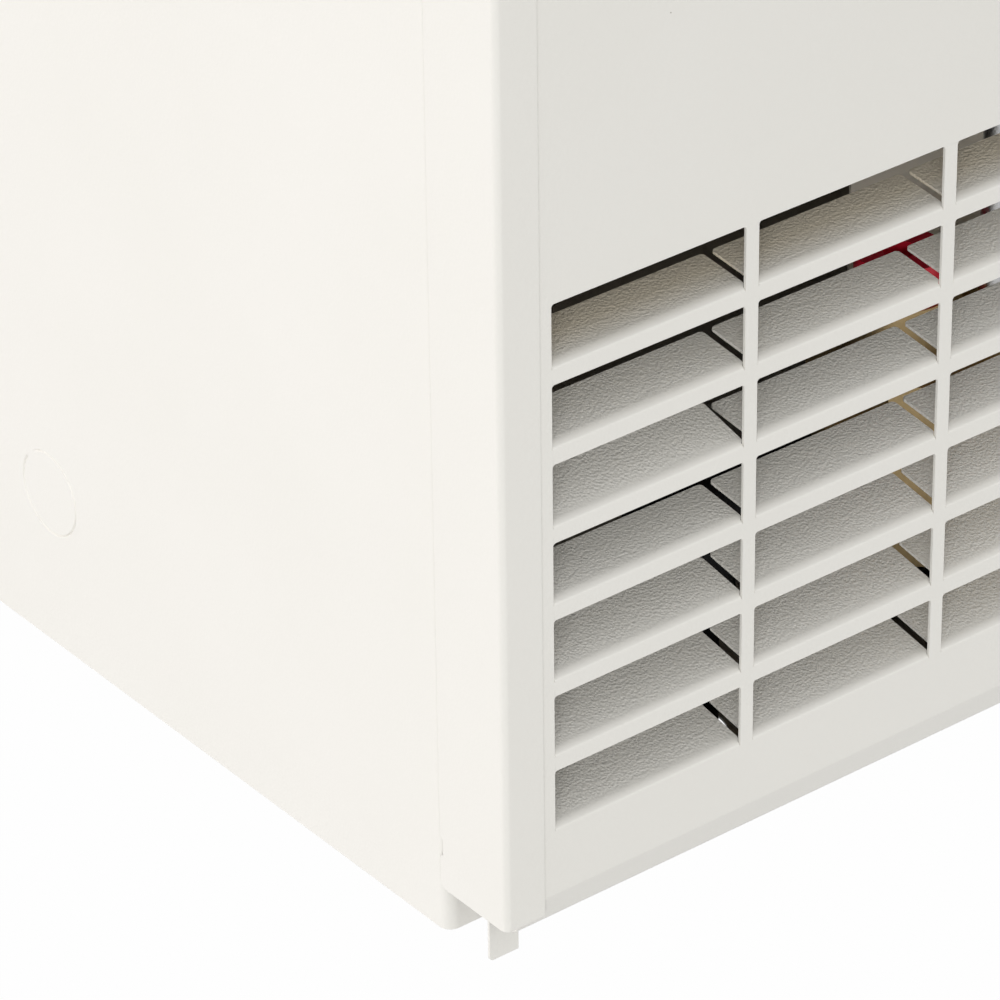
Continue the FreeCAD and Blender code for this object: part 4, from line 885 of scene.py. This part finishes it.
def cut_square(half, corner):
    """Outline of a square plate with cut corners."""
    def outline(angle):
        across, along = abs(math.cos(angle)), abs(math.sin(angle))
        return min(half / max(across, along), (2 * half - corner) / (across + along))
    return outline


def toothed(radius, depth):
    """Outline of a disc with fine teeth on its rim."""
    return lambda angle: radius - depth * (round(angle * RING_POINTS / (2 * math.pi)) % 2)


def inset(outline, distance):
    """The same outline, smaller all round."""
    return lambda angle: outline(angle) - distance


def round_over(outline, top, radius):
    """Profile of a rounded upper edge."""
    steps = 4
    profile = []
    for step in range(steps + 1):
        angle = QUARTER * step / steps
        profile.append((inset(outline, radius * (1 - math.cos(angle))), top - radius * (1 - math.sin(angle))))
    return profile


def loft(mesh, centre, profile, closed=False):
    """Wall through a profile of outlines and heights; an open profile gets flat ends."""
    rings = []
    for outline, height in profile:
        points = []
        for index in range(RING_POINTS):
            angle = 2 * math.pi * index / RING_POINTS
            reach = outline(angle)
            x = centre.x + reach * math.cos(angle)
            y = centre.y + reach * math.sin(angle)
            points.append(Vector((x, y, height)))
        rings.append(add_points(mesh, points))
    pairs = list(zip(rings, rings[1:]))
    if closed:
        pairs.append((rings[-1], rings[0]))
    else:
        mesh.faces.new(rings[0][::-1])
        mesh.faces.new(rings[-1])
    for lower, upper in pairs:
        add_strip(mesh, lower + lower[:1], upper + upper[:1])


def add_mark(mesh, sizes, centre, angle, reach, span, width, height):
    """Printed bar that points away from the middle, between two shares of a reach."""
    start, end = reach * span[0], reach * span[1]
    along = Vector((math.cos(angle), math.sin(angle), 0))
    across = Vector((-along.y, along.x, 0)) * (width / 2)
    corners = [along * start - across, along * end - across, along * end + across, along * start + across]
    rows = []
    for level in (height - sizes.ink, height + sizes.ink):
        rows.append(add_points(mesh, [Vector((centre.x, centre.y, level)) + corner for corner in corners]))
    lower, upper = rows
    add_strip(mesh, lower + lower[:1], upper + upper[:1], MARK_FINISH)
    mesh.faces.new(lower[::-1]).material_index = MARK_FINISH
    mesh.faces.new(upper).material_index = MARK_FINISH


def finish_moulding(name, mesh, node, slot, body, extra=()):
    """Turn a moulded shape into a piece, smooth apart from its sharp edges, and lay it over its node."""
    piece = new_piece(name, mesh)
    piece.data.set_sharp_from_angle(angle=SHARP_FROM)
    settle(piece, node, slot, body, extra)


def knob_shape(sizes):
    """Grip with hollowed flats, a dished top with a pointer, and the shank that slides in the dial."""
    low, high, centre, radius = axis_box("control_knob")
    bottom = high.z - sizes.knob_height
    grip = scalloped(KNOB_FLATS, radius, sizes.knob_hollow)
    dish = high.z - sizes.knob_dish
    rim = 2 * sizes.knob_edge
    floor = rim + sizes.knob_dish
    mesh = bmesh.new()
    profile = [(inset(grip, sizes.knob_dish), bottom), (grip, bottom + sizes.knob_dish)]
    profile += round_over(grip, high.z, sizes.knob_edge)
    profile += [(inset(grip, rim), high.z), (inset(grip, floor), dish)]
    loft(mesh, centre, profile)
    bore = circle(sizes.rod_radius)
    shank = sided(HEXAGON, sizes.shank_reach)
    loft(mesh, centre, [(bore, low.z), (shank, low.z), (shank, bottom), (bore, bottom)], closed=True)
    reach = radius * math.cos(math.pi / KNOB_FLATS) - sizes.knob_hollow - floor
    add_mark(mesh, sizes, centre, FRONTWARD, reach, POINTER_SPAN, sizes.pointer, dish)
    return mesh


def dial_shape(sizes):
    """Disc with a toothed rim and printed marks that widen with the flame, on a hub with a hexagonal bore."""
    low, high, centre, radius = axis_box("dial")
    under = high.z - sizes.dial_sheet
    edge = sizes.dial_edge
    bore = sided(HEXAGON, sizes.shank_reach + sizes.clearance)
    hub = circle(sizes.hub_radius)
    rim = toothed(radius, edge)
    plain = circle(radius - edge)
    mesh = bmesh.new()
    profile = [(bore, low.z), (hub, low.z), (hub, under), (inset(plain, edge), under)]
    profile += [(rim, under + edge), (rim, high.z - 2 * edge), (plain, high.z - edge)]
    profile += [(inset(plain, edge), high.z), (bore, high.z)]
    loft(mesh, centre, profile, closed=True)
    for mark in range(sizes.dial_marks):
        flame = mark / (sizes.dial_marks - 1)
        angle = FRONTWARD - sizes.dial_turn * flame
        width = sizes.mark_width * (0.5 + flame)
        add_mark(mesh, sizes, centre, angle, radius, DIAL_MARK_SPAN, width, high.z)
    return mesh


def bezel_shape(sizes):
    """Square plate with cut corners and a printed index at its front edge."""
    low, high, centre, half = axis_box("knob_bezel")
    plate = cut_square(half, sizes.bezel_corner)
    bore = circle(sizes.hub_radius + sizes.running_gap)
    mesh = bmesh.new()
    profile = [(bore, low.z), (plate, low.z)] + round_over(plate, high.z, sizes.dial_edge) + [(bore, high.z)]
    loft(mesh, centre, profile, closed=True)
    add_mark(mesh, sizes, centre, FRONTWARD, half, INDEX_SPAN, sizes.mark_width, high.z)
    return mesh


def igniter_shape(sizes):
    """Barrel below the top panel and the hexagonal flange that holds it, bored for the button."""
    low, high, centre, _ = axis_box("igniter_body")
    button_low, _, _, button_radius = axis_box("igniter_button")
    flange = sided(HEXAGON, (high.y - low.y) / 2)
    under = high.z - sizes.igniter_flange
    barrel = circle(sizes.igniter_radius)
    bore = circle(button_radius + sizes.running_gap)
    floor = button_low.z - sizes.igniter_travel
    edge = sizes.dial_edge
    mesh = bmesh.new()
    profile = [(inset(barrel, edge), low.z), (barrel, low.z + edge), (barrel, under), (flange, under)]
    profile += round_over(flange, high.z, edge)
    profile += [(inset(bore, -edge), high.z), (bore, high.z - edge), (bore, floor)]
    loft(mesh, centre, profile)
    return mesh


def button_shape(sizes):
    """Push button with a rounded rim and a dished top for the thumb."""
    low, high, centre, radius = axis_box("igniter_button")
    stem = circle(radius)
    edge = 2 * sizes.dial_edge
    # How far in and how deep the dish lies, in radii of the edge
    dish = ((1.5, 0.0), (3.0, 0.5), (5.0, 1.0))
    mesh = bmesh.new()
    profile = [(stem, low.z)] + round_over(stem, high.z, edge)
    profile += [(inset(stem, inwards * edge), high.z - depth * edge) for inwards, depth in dish]
    loft(mesh, centre, profile)
    return mesh


class HEATER_OT_controls(bpy.types.Operator):
    """Build the knob, its dial and plate, and the igniter with its button"""
    bl_idname = "heater.controls"
    bl_label = "Controls"

    def execute(self, context):
        sizes = context.scene.heater_sizes
        black, red = "black_plastic", "red_plastic"
        printed = ("marking",)
        finish_moulding("knob_grip", knob_shape(sizes), "control_knob", black, "knob", printed)
        finish_moulding("knob_dial", dial_shape(sizes), "dial", black, "dial", printed)
        finish_moulding("knob_plate", bezel_shape(sizes), "knob_bezel", black, "heater", printed)
        finish_moulding("piezo_igniter", igniter_shape(sizes), "igniter_body", black, "heater")
        finish_moulding("piezo_button", button_shape(sizes), "igniter_button", red, "igniter_button")
        return {"FINISHED"}


# Solids that keep their shape

class HEATER_OT_finishes(bpy.types.Operator):
    """Make the materials and give them to the solids that keep their shape"""
    bl_idname = "heater.finishes"
    bl_label = "Finishes"

    def execute(self, context):
        make_finishes(context.scene.heater_colours)
        special = {"chamber_pan": "scaled_and_shaded_chamber", "chamber_back_plate": "scaled_and_shaded_chamber",
                   "valve_shield": "painted_sheen_shield", "base_panel": "base_paint"}
        for part in frame["record"]["subparts"]:
            node = frame["nodes"][part["node"]]
            for place in node.material_slots:
                place.material = finishes[special.get(part["node"], part["material_slot"])]
        return {"FINISHED"}


# Stage

def camera_axes(azimuth, elevation, roll):
    """Right, up and back directions of a camera that looks at the object."""
    back = Vector((-math.sin(azimuth) * math.cos(elevation), -math.cos(azimuth) * math.cos(elevation),
                   math.sin(elevation)))
    right = Vector((math.cos(azimuth), -math.sin(azimuth), 0))
    above = back.cross(right)
    turned = right * math.cos(roll) + above * math.sin(roll)
    return turned, above * math.cos(roll) - right * math.sin(roll), back


def add_camera(scene, place, azimuth, elevation, roll, lens):
    """Camera at the photograph's place: a long lens from the left, looking down at the lower corner."""
    data = bpy.data.cameras.new("camera")
    data.sensor_width = 36.0
    data.lens = lens
    data.clip_end = 50.0
    camera = bpy.data.objects.new("camera", data)
    axes = camera_axes(math.radians(azimuth), math.radians(elevation), math.radians(roll))
    camera.matrix_world = Matrix.Translation(place) @ Matrix(axes).transposed().to_4x4()
    scene.collection.objects.link(camera)
    scene.camera = camera


def add_lamp(scene, name, place, aim, power, tint):
    """Soft square lamp."""
    data = bpy.data.lights.new(name, "AREA")
    data.size = 1.8
    data.energy = power
    data.color = tint
    lamp = bpy.data.objects.new(name, data)
    lamp.location = place
    lamp.rotation_euler = (Vector(aim) - Vector(place)).to_track_quat("-Z", "Y").to_euler()
    scene.collection.objects.link(lamp)


def seen_directly(tree):
    """One where the camera, a reflection or a view through glass meets the surface."""
    path = add_node(tree, "LightPath").outputs
    first = add_node(tree, "Math", {"operation": "MAXIMUM"},
                     {0: path["Is Camera Ray"], 1: path["Is Glossy Ray"]})
    second = add_node(tree, "Math", {"operation": "MAXIMUM"}, {0: first, 1: path["Is Transmission Ray"]})
    return second


def set_world(scene, above, below):
    """Soft studio light that fades from above to below, white where it is seen."""
    world = bpy.data.worlds.new("studio")
    tree = empty_tree(world)
    direction = add_node(tree, "TexCoord").outputs["Generated"]
    axes = add_node(tree, "SeparateXYZ", None, {"Vector": direction})
    fade = add_node(tree, "MapRange", {"From Min": -1.0, "To Min": below, "To Max": above},
                    {"Value": axes.outputs["Z"]})
    level = add_node(tree, "MapRange", {"To Max": 1.0}, {"Value": seen_directly(tree), "To Min": fade})
    light = add_node(tree, "Background", {"Color": (1.0, 1.0, 1.0, 1.0)}, {"Strength": level})
    add_node(tree, "OutputWorld", None, {"Surface": light})
    scene.world = world


def add_floor(height, shade):
    """Pale paper floor below the hung heater, white to the camera apart from a soft shadow."""
    white_share = 0.985
    mesh = bmesh.new()
    bmesh.ops.create_grid(mesh, x_segments=8, y_segments=8, size=8.0)
    floor = new_piece("floor", mesh)
    floor.location = (0, 0, height)
    material = bpy.data.materials.new("white_paper_matt")
    tree = empty_tree(material)
    paper = add_node(tree, "BsdfDiffuse", {"Color": (shade, shade, shade, 1.0)})
    glow = add_node(tree, "Emission", {"Strength": 1.0})
    share = add_node(tree, "Math", {"operation": "MULTIPLY", 1: white_share}, {0: seen_directly(tree)})
    both = add_node(tree, "MixShader", None, {0: share, 1: paper, 2: glow})
    add_node(tree, "OutputMaterial", None, {"Surface": both})
    floor.data.materials.append(material)


class HEATER_OT_stage(bpy.types.Operator):
    """Set the floor, the light and the camera"""
    bl_idname = "heater.stage"
    bl_label = "Stage"

    def execute(self, context):
        scene = context.scene
        lowest = solids_box[0][2]
        drop = 0.5
        scene.view_settings.view_transform = "Standard"
        set_world(scene, above=0.86, below=0.2)
        add_floor(height=lowest - drop, shade=0.45)
        add_lamp(scene, "lamp_rear_left", place=(-3.07, 2.73, 0.45), aim=(-0.24, -0.1, -0.2), power=66,
                 tint=(1.0, 0.96, 0.97))
        add_lamp(scene, "lamp_front_left", place=(-2.8, -3.26, 0.45), aim=(-0.2, -0.2, -0.33), power=70,
                 tint=(1.0, 1.0, 1.0))
        add_camera(scene, place=(-0.8957, -1.05599, 0.34815), azimuth=37.859, elevation=31.552,
                   roll=-0.789, lens=207.8)
        return {"FINISHED"}


class HEATER_PT_pieces(bpy.types.Panel):
    """List of the heater's pieces"""
    bl_label = "Gas Wall Heater"
    bl_idname = "HEATER_PT_pieces"
    bl_space_type = "VIEW_3D"
    bl_region_type = "UI"
    bl_category = "Heater"

    def draw(self, context):
        for operator in operators:
            self.layout.operator(operator.bl_idname)


operators = (
    HEATER_OT_finishes,
    HEATER_OT_front_panel,
    HEATER_OT_sides,
    HEATER_OT_cover_frame,
    HEATER_OT_controls,
    HEATER_OT_stage,
)
classes = (HeaterSizes, HeaterColours) + operators + (HEATER_PT_pieces,)


def register():
    """Make the properties, operators and panel known."""
    for kind in classes:
        bpy.utils.register_class(kind)
    bpy.types.Scene.heater_sizes = bpy.props.PointerProperty(type=HeaterSizes)
    bpy.types.Scene.heater_colours = bpy.props.PointerProperty(type=HeaterColours)


def unregister():
    """Take the properties, operators and panel away again."""
    del bpy.types.Scene.heater_colours
    del bpy.types.Scene.heater_sizes
    for kind in reversed(classes):
        bpy.utils.unregister_class(kind)


def main():
    """Build every piece in order."""
    register()
    bpy.ops.heater.finishes()
    bpy.ops.heater.front_panel()
    bpy.ops.heater.sides()
    bpy.ops.heater.cover_frame()
    bpy.ops.heater.controls()
    bpy.ops.heater.stage()


if __name__ == "__main__":
    main()
